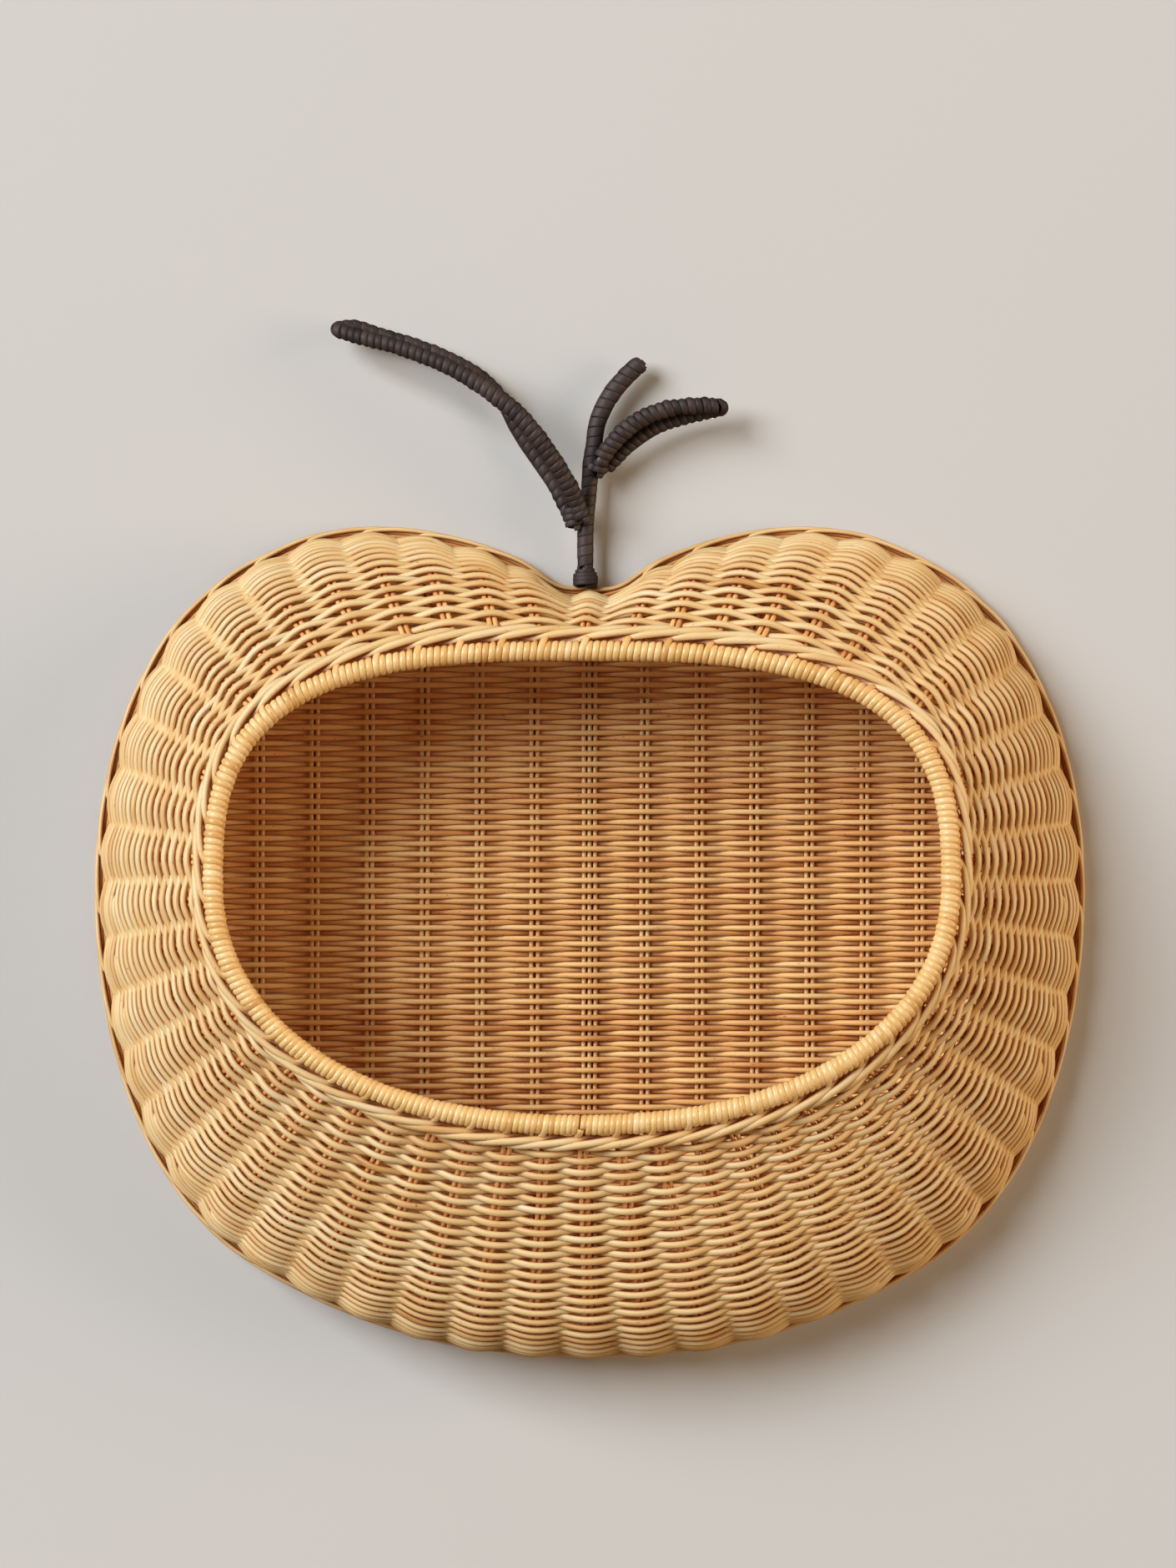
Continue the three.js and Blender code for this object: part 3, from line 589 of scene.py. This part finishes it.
def bulge(swing):
    """Raised by up to three twentieths outside the stakes, where the rod is free to bulge. Inside them it dips
    late, as the power 1.4 of the swing, so that the ends of a float stay in sight between the next two."""
    return np.where(swing > 0, swing * (1 + 0.15 * np.sqrt(np.abs(swing))), -(np.abs(swing) ** 1.4))


def wave(phase, row):
    """Over one pair of stakes and under the next: a cosine, bulged, the opposite way round in every other row."""
    return bulge(np.cos(math.pi * (phase + row)))


def wall_wave(station, row):
    """The weft crosses over sooner on both sides of station 0, so that the arch in the notch is narrow."""
    near = np.mod(station + COLUMNS / 2, COLUMNS) - COLUMNS / 2
    return wave(station + NOTCH_PINCH * np.sin(math.pi * near) * (np.abs(near) < 1), row)


def full_row(strands, row):
    """One closed rod all the way round, whose place and width both wander a little."""
    steps = COLUMNS * STEPS_PER_COLUMN
    station = np.arange(steps) / STEPS_PER_COLUMN
    wander = drift(steps, COLUMNS, 0.24, closed=True) / wall_length(station)
    line, out = on_wall(station, row_share(station, row) + wander, LIFT * wall_wave(station, row))
    width = rod_width(station, row) * (1 + drift(steps, 12, 0.06, closed=True))
    tint = rod_tint(0.5, steps, 30, 0.07, closed=True)
    strands.rod(line, out, width, width * ROD_FLAT, tint, closed=True)


for name, rows in (
    ("wall_weft_outer", range(0, OUTER_ROWS // 2)),
    ("wall_weft_outer_middle", range(OUTER_ROWS // 2, OUTER_ROWS)),
    ("wall_weft_inner", range(OUTER_ROWS + SHORT_ROWS, ALL_ROWS)),
):
    strands = Strands()
    for row in rows:
        full_row(strands, row)
    strands.mesh(name, rod_look, "rattan", "wall_weave")

# %% Short rows
TURN_SWING, TURN_WIDTH = 0.22, 0.9


def short_pair(strands, pair):
    """Out along one row, round a stake, back along the next and round the first stake. In both turns the lift
    changes sides as a cosine, while the rod swings past the stake as a sine."""
    row = OUTER_ROWS + 2 * pair
    first, last = BOTTOM - before_bottom[::-1][pair], BOTTOM + after_bottom[::-1][pair]
    rows = (row, row + 1) if (last + row) % 2 == 0 else (row + 1, row)
    turn = np.linspace(0, math.pi, 9)[1:-1]
    swing, shift = TURN_SWING * np.sin(turn), (1 - np.cos(turn)) / 2
    go = np.linspace(first, last, int((last - first) * STEPS_PER_COLUMN) + 1)
    side = 1 if (first + rows[1]) % 2 == 0 else -1
    place = np.hstack([go, last + swing, go[::-1], first - swing])
    there, back = wall_wave(go, rows[0]), wall_wave(go[::-1], rows[1])
    lift = LIFT * np.hstack([there, bulge(np.cos(turn)), back, bulge(side * np.cos(turn))])
    mix = np.hstack([np.zeros(len(go)), shift, np.ones(len(go)), 1 - shift])
    share = row_share(place, rows[0]) * (1 - mix) + row_share(place, rows[1]) * mix
    line, out = on_wall(place, share, lift)
    tint = rod_tint(0.5, len(line), 20, 0.07, closed=True)
    width = np.maximum(rod_width(place, rows[0]), TURN_WIDTH * ROD)
    strands.rod(line, out, width, width * ROD_FLAT, tint, closed=True)


strands = Strands()
for pair in range(len(before_bottom)):
    short_pair(strands, pair)
strands.mesh("wall_weft_short", rod_look, "rattan", "wall_weave")

# %% [markdown]
# ## Stakes of the wall
# Each column of the wall is a pair of thin rods. A pair runs down one column, turns under the wall's edge and comes
# up the next column, so twenty-six folded pairs make all fifty-two columns.

# %% Wall stakes
PAIR_GAP, LINK_DEPTH = 2.3, 3.95
END_BACK = 3.4
LEG_STEPS, BEND_STEPS = 26, 7


def folded_rod(strands, station, offset):
    """One rod of a folded pair: in along a column, a quarter turn, along under the edge, a quarter turn, and out
    along the next column. Both legs lie the same way to the fold, so one rod is the outer one."""
    share = np.linspace(0, 1, LEG_STEPS)
    legs = []
    for column, side in ((station, 1), (station + 1, -1)):
        reach = share * (1 - END_BACK / float(wall_length(column)))
        middle, _ = on_wall(column, reach, 0)
        across = unit(from_grid(wall_round, column + 0 * reach, reach))
        legs.append(middle - side * across * offset)
    width = float(np.linalg.norm(legs[1][0] - legs[0][0]))
    radius = WIRE_DEPTH - LINK_DEPTH + offset
    bend = np.linspace(0, math.pi / 2, BEND_STEPS)[1:]
    run = np.hstack([radius * (1 - np.cos(bend)), width / 2, width - radius * (1 - np.cos(bend[::-1]))])
    drop = np.hstack([radius * np.sin(bend), radius, radius * np.sin(bend[::-1])])
    part = (run / width)[:, None]
    fold = legs[0][0] * (1 - part) + legs[1][0] * part + drop[:, None] * (0, 1, 0)
    line = np.vstack([legs[0][::-1], fold, legs[1]])
    tint = rod_tint(0.4, len(line), 6, 0.04)
    strands.rod(line, -outward(station + 0.5), STAKE, STAKE, tint, sides=7)


strands = Strands()
for pair in range(COLUMNS // 2):
    for offset in (-PAIR_GAP / 2, PAIR_GAP / 2):
        folded_rod(strands, 2 * pair, offset)
strands.mesh("wall_stakes", stake_look, "rattan", *[f"wall_pair_{i + 1}" for i in range(COLUMNS // 2)])

# %% [markdown]
# ## The flat back
# Seventeen uprights of two rods, and three in the middle one, have thinner weft woven across them. A row ends where
# the outline cuts its height, and above the notch it is cut in two. At its ends a rod bends into the next row, as
# a weaver turns back at an edge.

# %% Back: uprights
UPRIGHTS = 17
UPRIGHT_PITCH = BASKET_WIDTH / (UPRIGHTS + 1)
UPRIGHT_STEPS, UPRIGHT_ROD, STAKE_DEPTH = 40, 1.9, 3.6
BACK_ROD, BACK_PITCH, BACK_INSET = 2.1, 2.13, 11.0
EDGE_STEPS = 2880

edge = inset_point(np.arange(EDGE_STEPS) / EDGE_STEPS, BACK_INSET, 0)[:, [0, 2]]
edge_right, edge_left = edge[: EDGE_STEPS // 2 + 1], edge[EDGE_STEPS // 2 :][::-1]


def crossings(x):
    """Heights at which an upright at x meets the inset outline, below and above."""
    line = edge_right if x >= 0 else edge_left
    hit = np.flatnonzero(np.diff(np.sign(np.abs(line[:, 0]) - abs(x) - 1e-9)))
    heights = line[hit, 1] if len(hit) > 1 else np.array([line[0, 1], line[-1, 1]])
    return heights.min(), heights.max()


strands = Strands()
for number in range(-(UPRIGHTS // 2), UPRIGHTS // 2 + 1):
    offsets = (-PAIR_GAP, 0, PAIR_GAP) if number == 0 else (-PAIR_GAP / 2, PAIR_GAP / 2)
    for offset in offsets:
        x = number * UPRIGHT_PITCH + offset
        low, high = crossings(x)
        z = np.linspace(low - 1, high + 1, UPRIGHT_STEPS)
        line = np.stack([x + drift(UPRIGHT_STEPS, 12, 0.10), np.full(UPRIGHT_STEPS, -STAKE_DEPTH), z], -1)
        tint = rod_tint(0.56, UPRIGHT_STEPS, 6, 0.04)
        strands.rod(line, FORWARD, UPRIGHT_ROD, UPRIGHT_ROD, tint, sides=7)
strands.mesh("back_stakes", back_stake_look, "rattan", *[f"upright_pair_{i + 1}" for i in range(UPRIGHTS)])

# %% Back: weft
BACK_LIFT = (STAKE + BACK_ROD) / 2
BACK_STEP, BACK_TURN = 2.2, 4
NOTCH_HEIGHT = float(edge_right[0, 1])


def edge_span(z):
    """Left and right end of a row at height z, as pairs, one pair below the notch and two above it."""
    spans = []
    for line in (edge_left, edge_right):
        hit = np.flatnonzero(np.diff(np.sign(line[:, 1] - z)))
        part = (z - line[hit, 1]) / (line[hit + 1, 1] - line[hit, 1])
        spans.append(np.sort(line[hit, 0] * (1 - part) + line[hit + 1, 0] * part))
    left, right = spans
    if z < NOTCH_HEIGHT:
        return [(left[0], right[-1])] if len(left) and len(right) else []
    return [(s[0], s[-1]) for s in (left, right) if len(s) > 1]


def back_row(strands, z, start, end, row):
    """A row from edge to edge. In its last 4 mm it bends half a pitch up at one end and down at the other, and
    the next row the other way, so that they meet."""
    steps = max(int((end - start) / BACK_STEP), 6)
    x = np.linspace(start, end, steps + 1)
    near_left, near_right = smooth(1 - (x - start) / BACK_TURN), smooth(1 - (end - x) / BACK_TURN)
    lift = BACK_LIFT * wave(x / UPRIGHT_PITCH, row) * (1 - near_left) * (1 - near_right)
    turn = BACK_PITCH / 2 * (1 if row % 2 else -1)
    height = z + drift(steps + 1, max(steps // 9, 2), 0.09) + turn * (near_left - near_right)
    line = np.stack([x, -STAKE_DEPTH - lift, height], -1)
    width = BACK_ROD * (1 + rng.normal(0, 0.03))
    tint = rod_tint(0.46, steps + 1, max(steps // 12, 2), 0.05, spread=0.07)
    strands.rod(line, FORWARD, width * 1.04, width, tint)


heights = np.arange(edge[:, 1].min() + BACK_PITCH, edge[:, 1].max() - BACK_PITCH / 2, BACK_PITCH)
half_way = len(heights) // 2
for name, rows in (("back_weft_lower", range(half_way)), ("back_weft_upper", range(half_way, len(heights)))):
    strands = Strands()
    for row in rows:
        for start, end in edge_span(heights[row]):
            back_row(strands, heights[row], start, end, row)
    strands.mesh(name, back_look, "rattan", "back_weave")

# %% [markdown]
# ## Border
# The rolled edge is a row of thin strands. Each comes out in front at one column, arches along the outline and
# goes in behind two columns on, where the next but one has already taken over, so the edge looks like a rope.

# %% Border strands
BORDER_ROD = 1.9
BORDER_CORE = ((2.6, 2.3), (4.0, 4.2), (2.3, 4.0))
CORE_STEPS, ARCH_STEPS = 8, 31
ARCH_START, ARCH_COLUMNS = -0.1, 2.2
ARCH_INSET, ARCH_DIP, ARCH_DEPTH, ARCH_SINK = 1.0, 2.2, 6.4, 3.6

strands = Strands()
station = np.arange(COLUMNS * CORE_STEPS) / CORE_STEPS
for inset, depth in BORDER_CORE:
    line = inset_point(station / COLUMNS, inset, depth)
    tint = 0.25 + drift(len(line), 40, 0.06, closed=True)
    strands.rod(line, outward(station), BORDER_ROD, BORDER_ROD, tint, sides=7, closed=True)
for column in range(COLUMNS):
    t = np.linspace(0, 1, ARCH_STEPS)
    station = column + ARCH_START + ARCH_COLUMNS * t
    inset = ARCH_INSET + ARCH_DIP * (1 - np.sin(math.pi * t) ** 0.5) ** 1.4
    line = inset_point(station / COLUMNS, inset, ARCH_DEPTH - ARCH_SINK * smooth(t))
    tint = 0.48 + rng.normal(0, 0.08)
    strands.rod(line, outward(station), BORDER_ROD, BORDER_ROD * 0.95, tint, sides=7)
strands.mesh("border_strands", rod_look, "rattan", "border")

# %% [markdown]
# ## Wale
# Three rods make the wale beside the rim. Each passes outside two pairs of stakes and inside one, a step behind
# the next, which gives the slanting rope. Fifty-two is no multiple of three, so one line that goes round three
# times draws all three rods.

# %% Wale rods
WALE, WALE_STEPS = 3.15, 12
count = 3 * COLUMNS * WALE_STEPS
turns_done = np.arange(count) / WALE_STEPS
stops = [0, 0.25, 0.6, 1.0, 1.4, 1.8, 2.05, 2.25, 2.5, 2.75, 3]
lifts = [0.6, 2.0, 2.9, 3.1, 3.0, 2.3, 0.4, -1.8, -2.4, -1.8, 0.6]
places_back = [5.6, 5.7, 6.2, 7.0, 8.0, 9.1, 9.7, 9.6, 8.0, 6.2, 5.6]
smoothing = np.array([1, 2, 3, 2, 1]) / 9


def repeated(values):
    """Values at the stops, repeated every three columns and rounded off by a moving average."""
    along = np.interp(np.mod(turns_done, 3), stops, values)
    return np.convolve(np.hstack([along[-2:], along, along[:2]]), smoothing, mode="valid")


line, out = on_wall(turns_done, 1 - repeated(places_back) / wall_length(turns_done), repeated(lifts))
strands = Strands()
tint = 0.56 + drift(count, 3 * COLUMNS // 2, 0.08, closed=True)
strands.rod(line, out, WALE, WALE * 0.92, tint, closed=True)
strands.mesh("wale", rod_look, "rattan", "wale_outer", "wale_middle", "wale_inner")

# %% [markdown]
# ## Bound rim
# A flat strip of cane is wound closely round the hoop in one long helix, with its width along the rim and its
# domed face outward. Once for every column a turn reaches further out, through the wall behind the first rod of
# the wale, and that ties the rim on.

# %% Rim binding
TURNS_PER_COLUMN, TURN_STEPS = 6, 16
RIM_TURNS = TURNS_PER_COLUMN * COLUMNS
CANE_WIDTH, CANE_THICKNESS = 2.72, 1.1
RIM_OUTSIDE, RIM_SEAM = 4.1, 0.03
TIE_OUT, TIE_ALONG, TIE_DOWN = 2.6, 1.5, 1.2


def flat_section(width, height, edge):
    """A strip of cane: flat inside, a little domed outside, edge being the share of its height at its edges."""
    shares = [(-0.5, 0), (-0.47, edge), (-0.3, 0.5 + edge / 2), (0, 1), (0.3, 0.5 + edge / 2), (0.47, edge), (0.5, 0)]
    return np.array(shares) * (width, height)


rim_steps = RIM_TURNS * TURN_STEPS + 1
turned = np.arange(rim_steps) / TURN_STEPS
station = BOTTOM + RIM_SEAM + (COLUMNS - 2 * RIM_SEAM) * turned / RIM_TURNS
along_rim = unit(mouth_point(station + 0.05) - mouth_point(station - 0.05))
out = square_to(along_rim, from_grid(wall_out, station, np.ones_like(station)))
away = np.cross(out, along_rim)
angle = TAU * turned
tie = (np.floor(turned) % TURNS_PER_COLUMN == 0) * np.clip(np.sin(angle), 0, 1) ** 3
radius = RIM_OUTSIDE - CANE_THICKNESS + TIE_OUT * tie + drift(rim_steps, RIM_TURNS, 0.08)
radial = np.cos(angle)[:, None] * out + np.sin(angle)[:, None] * away
tied = along_rim * (TIE_ALONG * tie)[:, None] - out * (TIE_DOWN * tie)[:, None]
line = mouth_point(station) + radial * radius[:, None] + tied
strands = Strands()
tint = 0.56 + drift(rim_steps, RIM_TURNS, 0.10)
strands.sweep(line, radial, flat_section(CANE_WIDTH, CANE_THICKNESS, 0.5), tint)
strands.mesh("rim_cane", cane_look, "pale_cane", "rim_binding")

# %% [markdown]
# ## Stem and leaves
# The stem is a stiff wire wound with dark cane, and each leaf is a wire loop wound the same way. An open
# Catmull-Rom line gives the wire's path, through points in thousandths of its length. A frame is carried along it,
# turned as little as possible, so that the winding, a helix in that frame, runs evenly round bends.

# %% Paths of stem and leaves
STEM_OFFSET, STEM_DEPTH, STEM_HEIGHT = -1.7, 8, 88.6
STEM_WIRE, STEM_CANE, STEM_TIP = 3.2, 1.0, 1.0
CUFF_HEIGHT, CUFF_DIAMETER, CUFF_DOWN = 6.7, 10.4, 1.5
TAPE_THICKNESS, FRONT_PITCH = 1.1, 3.0
STEPS_PER_TURN = 14
stem_foot = np.array([STEM_OFFSET, -STEM_DEPTH, outline_points[1][1] / PARTS * BASKET_HEIGHT / 2 + CLEARANCE])
stem_points = [
    (0, 0), (0, 228), (4, 304), (16, 418), (23, 532), (38, 627), (57, 738), (114, 855), (183, 939), (250, 1000),
    (258, 1009),
]
left_leaf_points = [
    (0, -45, -14), (-22, -63, 45), (-50, -100, 104), (-90, -135, 168), (-150, -160, 252), (-214, -170, 325),
    (-296, -168, 390), (-390, -155, 452), (-495, -135, 502), (-606, -104, 545), (-730, -66, 580), (-794, -36, 606),
    (-742, -6, 622), (-665, 8, 603), (-536, 16, 566), (-418, 16, 513), (-330, 16, 452), (-280, 16, 392),
    (-250, 16, 325), (-208, 16, 250), (-160, 16, 180), (-105, 14, 100), (-43, 0, -8),
]
right_leaf_points = [
    (18, -90, 42), (95, -110, 142), (205, -140, 262), (340, -165, 350), (477, -175, 400), (625, -175, 424),
    (772, -165, 428), (860, -145, 424), (888, -110, 415), (860, -80, 400), (793, -65, 382), (675, -55, 352),
    (540, -50, 308), (405, -45, 244), (275, -35, 155), (160, -20, 65), (63, -10, -15),
]


def open_line(points, count):
    """An open Catmull-Rom line in equal steps, with each end's missing neighbour mirrored, and its length."""
    p = np.asarray(points, float)
    p = np.vstack([2 * p[0] - p[1], p, 2 * p[-1] - p[-2]])
    fine = np.vstack([catmull_rom(p[:-3], p[1:-2], p[2:-1], p[3:]), p[-2:-1]])
    return even_steps(fine, count, endpoint=True), float(length_so_far(fine)[-1])


def carried_frames(line):
    """Directions along and out at each point, the second carried on from point to point."""
    along = unit(np.gradient(line, axis=0))
    out = [FORWARD]
    for direction in along:
        out.append(square_to(direction, out[-1]))
    return along, np.array(out[1:])


def wound(strands, path, radius, pitch, width, height, tint, start, stop, edge):
    """Winds a strip round a path, off it by the radius. radius, pitch, width and height are functions of gone, how
    far along it. The number of turns so far is the sum of steps over pitch."""
    line, length = path
    fine = np.linspace(start, stop, 4001)
    turns = np.hstack([0, np.cumsum(np.diff(fine) / pitch((fine[1:] + fine[:-1]) / 2))])
    count = int(turns[-1] * STEPS_PER_TURN)
    turned = np.linspace(0, turns[-1], count)
    gone = np.interp(turned, turns, fine)
    place = np.linspace(0, length, len(line))
    centre, along, out = (read_off(gone, place, table) for table in (line, *carried_frames(line)))
    along, out = unit(along), unit(out)
    angle = turned[:, None] * TAU
    radial = np.cos(angle) * out + np.sin(angle) * np.cross(along, out)
    section = flat_section(1, 1, edge)[None] * np.stack([width(gone), height(gone)], -1)[:, None]
    strands.sweep(centre + radial * radius(gone)[:, None], radial, section, tint(count))


def same(value):
    """One size all along."""
    return lambda gone: np.full_like(gone, value)


def patchy(size):
    """Tint that changes from turn to turn."""
    return lambda count: 0.45 + drift(count, max(count // STEPS_PER_TURN, 2), size)


def uneven(spread, length):
    """A factor that wanders along the path, as in a strip wound by hand."""
    place = np.linspace(0, length, 400)
    sizes = 1 + drift(400, max(int(length / 2.5), 4), spread)
    return lambda gone: np.interp(gone, place, sizes)


# %% Stem
stem_path = open_line([stem_foot + np.array([x, 0, z]) / PARTS * STEM_HEIGHT for x, z in stem_points], 400)
stem_length = stem_path[1] - STEM_TIP
bare = STEM_WIRE / 2 + 0.45


def stem_radius(gone):
    """The bare wire, a little thicker toward the top, and closed in a dome over the tip."""
    thick = bare + 0.25 + 0.4 * smooth((gone / stem_length - 0.45) * 3)
    left = np.clip((stem_length + STEM_TIP - gone) / 1.9, 0, 1)
    return thick * np.sqrt(1 - (1 - left) ** 2)


def closing(gone):
    """From 0 to 1 just before the tip, where the turns grow narrow to close the dome."""
    return smooth((gone - stem_length + 2.2) / 2)


def cuff_radius(gone):
    """A flare toward the border. It grows from the bare wire in the first half millimetre."""
    flare = CUFF_DIAMETER / 2 - TAPE_THICKNESS - bare - 0.3
    flared = bare + 0.3 + flare * smooth((CUFF_HEIGHT + CUFF_DOWN - gone) / 4.4)
    return bare + (flared - bare) * smooth((gone - 0.3) / 0.5)


strands = Strands()
stem_swell = uneven(0.03, stem_length)
wound(
    strands, stem_path, radius=lambda gone: stem_radius(gone) * stem_swell(gone),
    pitch=lambda gone: 4.0 - 3.2 * closing(gone), width=lambda gone: 4.1 - 2.7 * closing(gone),
    height=lambda gone: STEM_CANE - 0.4 * closing(gone), tint=patchy(0.12),
    start=CUFF_HEIGHT - 1.6, stop=stem_length + STEM_TIP, edge=0.9)
strands.mesh("stem_cane", tape_look, "dark_cane", "stem_binding")

strands = Strands()
cuff_path = open_line([stem_foot - (0, 0, CUFF_DOWN), stem_foot + (0, 0, 0.1 * STEM_HEIGHT)], 60)
wound(
    strands, cuff_path, cuff_radius, pitch=same(1.5), width=same(1.9), height=same(1.0), tint=patchy(0.05),
    start=0.3, stop=CUFF_HEIGHT + 0.9, edge=0.85)
strands.mesh("stem_cuff_cane", stem_look, "dark_cane", "stem_cuff")

# %% Leaves
def leaf(name, points, length, offset, height, front, rear, at_tip, at_foot, swelling):
    """Winds a loop from the foot along the front strand, round the tip and back along the rear one. front has the
    radius at the foot and further on, rear has radius and pitch. The rear strand is moved by at_tip near the tip
    and by at_foot near the foot."""
    joint = stem_foot + np.array([offset, 0, height])
    line, whole = open_line(joint + np.array(points) / PARTS * length, 500)
    on_rear = np.clip(np.linspace(-1, 1, len(line)), 0, 1)[:, None]
    closer = np.array(at_tip) + (np.array(at_foot) - at_tip) * smooth(on_rear * 1.6 - 0.3)
    path = (line + np.sin(math.pi * on_rear) ** 0.6 * closer, whole)
    swell = uneven(0.05, whole)

    def behind(gone):
        """0 on the front strand and 1 on the rear one."""
        return smooth((gone / whole - 0.47) * 12)

    def radius(gone):
        """The front radius eases to its second value, with a bell-shaped swelling near the foot."""
        bell = np.exp(-(((gone / whole - 0.205) / 0.05) ** 2))
        before = front[0] + (front[1] - front[0]) * smooth(gone / whole * 2.2) + swelling * bell
        return (before * (1 - behind(gone)) + rear[0] * behind(gone)) * swell(gone)

    def pitch(gone):
        """The front strand's pitch, and then the rear one's."""
        return FRONT_PITCH + (rear[1] - FRONT_PITCH) * behind(gone)

    strands = Strands()
    wound(
        strands, path, radius, pitch, width=lambda gone: pitch(gone) * 1.03, height=same(TAPE_THICKNESS),
        tint=patchy(0.12), start=0.4, stop=whole - 0.4, edge=0.55)
    strands.mesh(f"{name}_cane", stem_look, "dark_cane", f"{name}_binding")


leaf(
    "left_leaf", left_leaf_points, length=125, offset=-0.7, height=26.4, front=(2.6, 2.15), rear=(1.75, 3.7),
    at_tip=(-0.9, 0, -1.3), at_foot=(2.0, 0, 1.5), swelling=0.45)
leaf(
    "right_leaf", right_leaf_points, length=57, offset=4.4, height=46.5, front=(2.75, 2.25), rear=(2.2, 3.0),
    at_tip=(-0.4, 0, 0.9), at_foot=(-1.3, 0, 1.9), swelling=0)

# %% Knots that bind the leaves to the stem
strands = Strands()
foot = stem_foot * (1, 0, 1)
for low, high, size in (
    ((-4.6, -10.2, 21.8), (-5.6, -10.4, 31.5), 3.1), ((4.6, -10.6, 43.4), (7.0, -11.6, 49.6), 2.6),
):
    knot = open_line([foot + low, foot + high], 60)
    wound(
        strands, knot, lambda gone: size * np.sin(math.pi * np.clip(gone / knot[1], 0.12, 0.88)) ** 0.5,
        pitch=same(2.4), width=same(2.7), height=same(TAPE_THICKNESS), tint=patchy(0.12),
        start=0.3, stop=knot[1] - 0.3, edge=0.7)
strands.mesh("knots", stem_look, "dark_cane")

# %% [markdown]
# ## Metal
# The wires and the rim's rattan hoop are hidden under the cane, and the pin's small head shows at the upper joint.
# They keep their exact solids and only get a finish. That of the metal is worn steel, rougher in patches.

# %% Metal finish
def metal_material(name, pale, dark, roughness):
    """Noise mixes two greys, and makes the surface rougher where it is darker."""
    material, tree = new_material(name)
    grain = noise(tree, node(tree, "TexCoord")["Object"], 900.0, 3.0)
    base = mixed(tree, grain, colour(*dark), colour(*pale))
    rough = ranged(tree, grain, 0, 1, roughness + 0.15, roughness - 0.1)
    shader = node(tree, "BsdfPrincipled", Base_Color=base, Metallic=1.0, Roughness=rough)
    node(tree, "OutputMaterial", Surface=shader["BSDF"])
    return material


wire_look = metal_material("dull_wire", (120, 112, 106), (70, 62, 58), 0.5)
pin_look = metal_material("pin_head", (206, 196, 186), (140, 128, 118), 0.35)
looks = dict.fromkeys(("frame_wire", "stem_wire", "left_leaf_wire", "right_leaf_wire"), wire_look)
looks.update(stem_pin=pin_look, rim_hoop=rod_look)
for name, look in looks.items():
    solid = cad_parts[name]
    solid.data.materials.clear()
    solid.data.materials.append(look)

# %% [markdown]
# ## Room and light
# A pale wall stands behind the basket, and a pale floor far below. Both show only from their front, so that the
# basket's back can be seen too, and only to the camera. A large lamp at the upper left throws the soft shadow down
# to the right, and a warm one far to the right lights the shaded side. The world adds soft light, weakest from
# straight ahead and from behind, and warmest from below.

# %% Stage
WALL_COLOUR = (206, 207, 205)
FLOOR, BEHIND = -0.6, 0.0005


def stage_material(name, rgb):
    """A matt colour for camera rays on the front of the sheet, and nothing otherwise."""
    material, tree = new_material(name)
    camera_ray = node(tree, "LightPath")["Is Camera Ray"]
    back = node(tree, "NewGeometry")["Backfacing"]
    shown = calculate(tree, "MULTIPLY", camera_ray, calculate(tree, "SUBTRACT", 1.0, back))
    patches = noise(tree, node(tree, "TexCoord")["Object"], 3.0, 2.0)
    darker, paler = (colour(*[v + step for v in rgb]) for step in (-1, 1))
    clear = node(tree, "BsdfTransparent")[0]
    matt = node(tree, "BsdfDiffuse", Color=mixed(tree, patches, darker, paler))[0]
    node(tree, "OutputMaterial", Surface=in_order(tree, "MixShader", shown, clear, matt))
    return material


def sheet_of(name, corners, material):
    """A flat sheet, with its front where its corners run anticlockwise."""
    mesh = bpy.data.meshes.new(name)
    mesh.from_pydata(corners, [], [(0, 1, 2, 3)])
    mesh.materials.append(material)
    add_object(name, mesh)


stage_look = stage_material("pale_wall", WALL_COLOUR)
sheet_of("wall", [(-2, BEHIND, FLOOR), (2, BEHIND, FLOOR), (2, BEHIND, 2), (-2, BEHIND, 2)], stage_look)
sheet_of("floor", [(-3, -3, FLOOR), (3, -3, FLOOR), (3, 3, FLOOR), (-3, 3, FLOOR)], stage_look)

# %% Lamps and world
def lamp(name, place, aim, size, power, rgb):
    """A square lamp that faces the point it is aimed at."""
    data = bpy.data.lights.new(name, "AREA")
    data.size = size
    data.energy = power
    data.color = rgb
    made = add_object(name, data)
    made.location = place
    direction = np.array(aim) - np.array(place)
    flat = math.hypot(direction[0], direction[1])
    made.rotation_euler = (math.atan2(flat, -direction[2]), 0, math.atan2(direction[1], direction[0]) - math.pi / 2)


lamp("key", (-4.8, -5.1, 2.8), (0, 0, 0.03), 4.2, 665, (0.98, 1, 1.04))
lamp("fill", (4.8, -1.5, 0.5), (0, 0, 0), 3.0, 172, (1, 0.75, 0.52))
lamp("behind", (0, 3.0, 0), (0, 0, 0), 0.4, 60, (1, 0.95, 0.88))

world = bpy.data.worlds.new("room")
scene.world = world
world.use_nodes = True
tree = world.node_tree
tree.nodes.clear()
rays = node(tree, "LightPath")
seen = calculate(tree, "MAXIMUM", rays["Is Camera Ray"], rays["Is Transmission Ray"])
parts = node(tree, "SeparateXYZ", Vector=node(tree, "TexCoord")["Generated"])
front = ranged(tree, parts["Y"], -0.9, -0.25, 0.02, 0.39)
level = ranged(tree, parts["Y"], -0.2, 0.3, 1.0, 0.15)
warmth = mixed(tree, ranged(tree, parts["Z"], -0.6, 0.2), colour(255, 204, 150), colour(255, 228, 196))
soft = node(tree, "Background", Color=warmth, Strength=calculate(tree, "MULTIPLY", front, level))[0]
plain = node(tree, "Background", Color=colour(213, 207, 200), Strength=1.0)[0]
node(tree, "OutputWorld", Surface=in_order(tree, "MixShader", seen, soft, plain))

scene.view_settings.view_transform = "Standard"
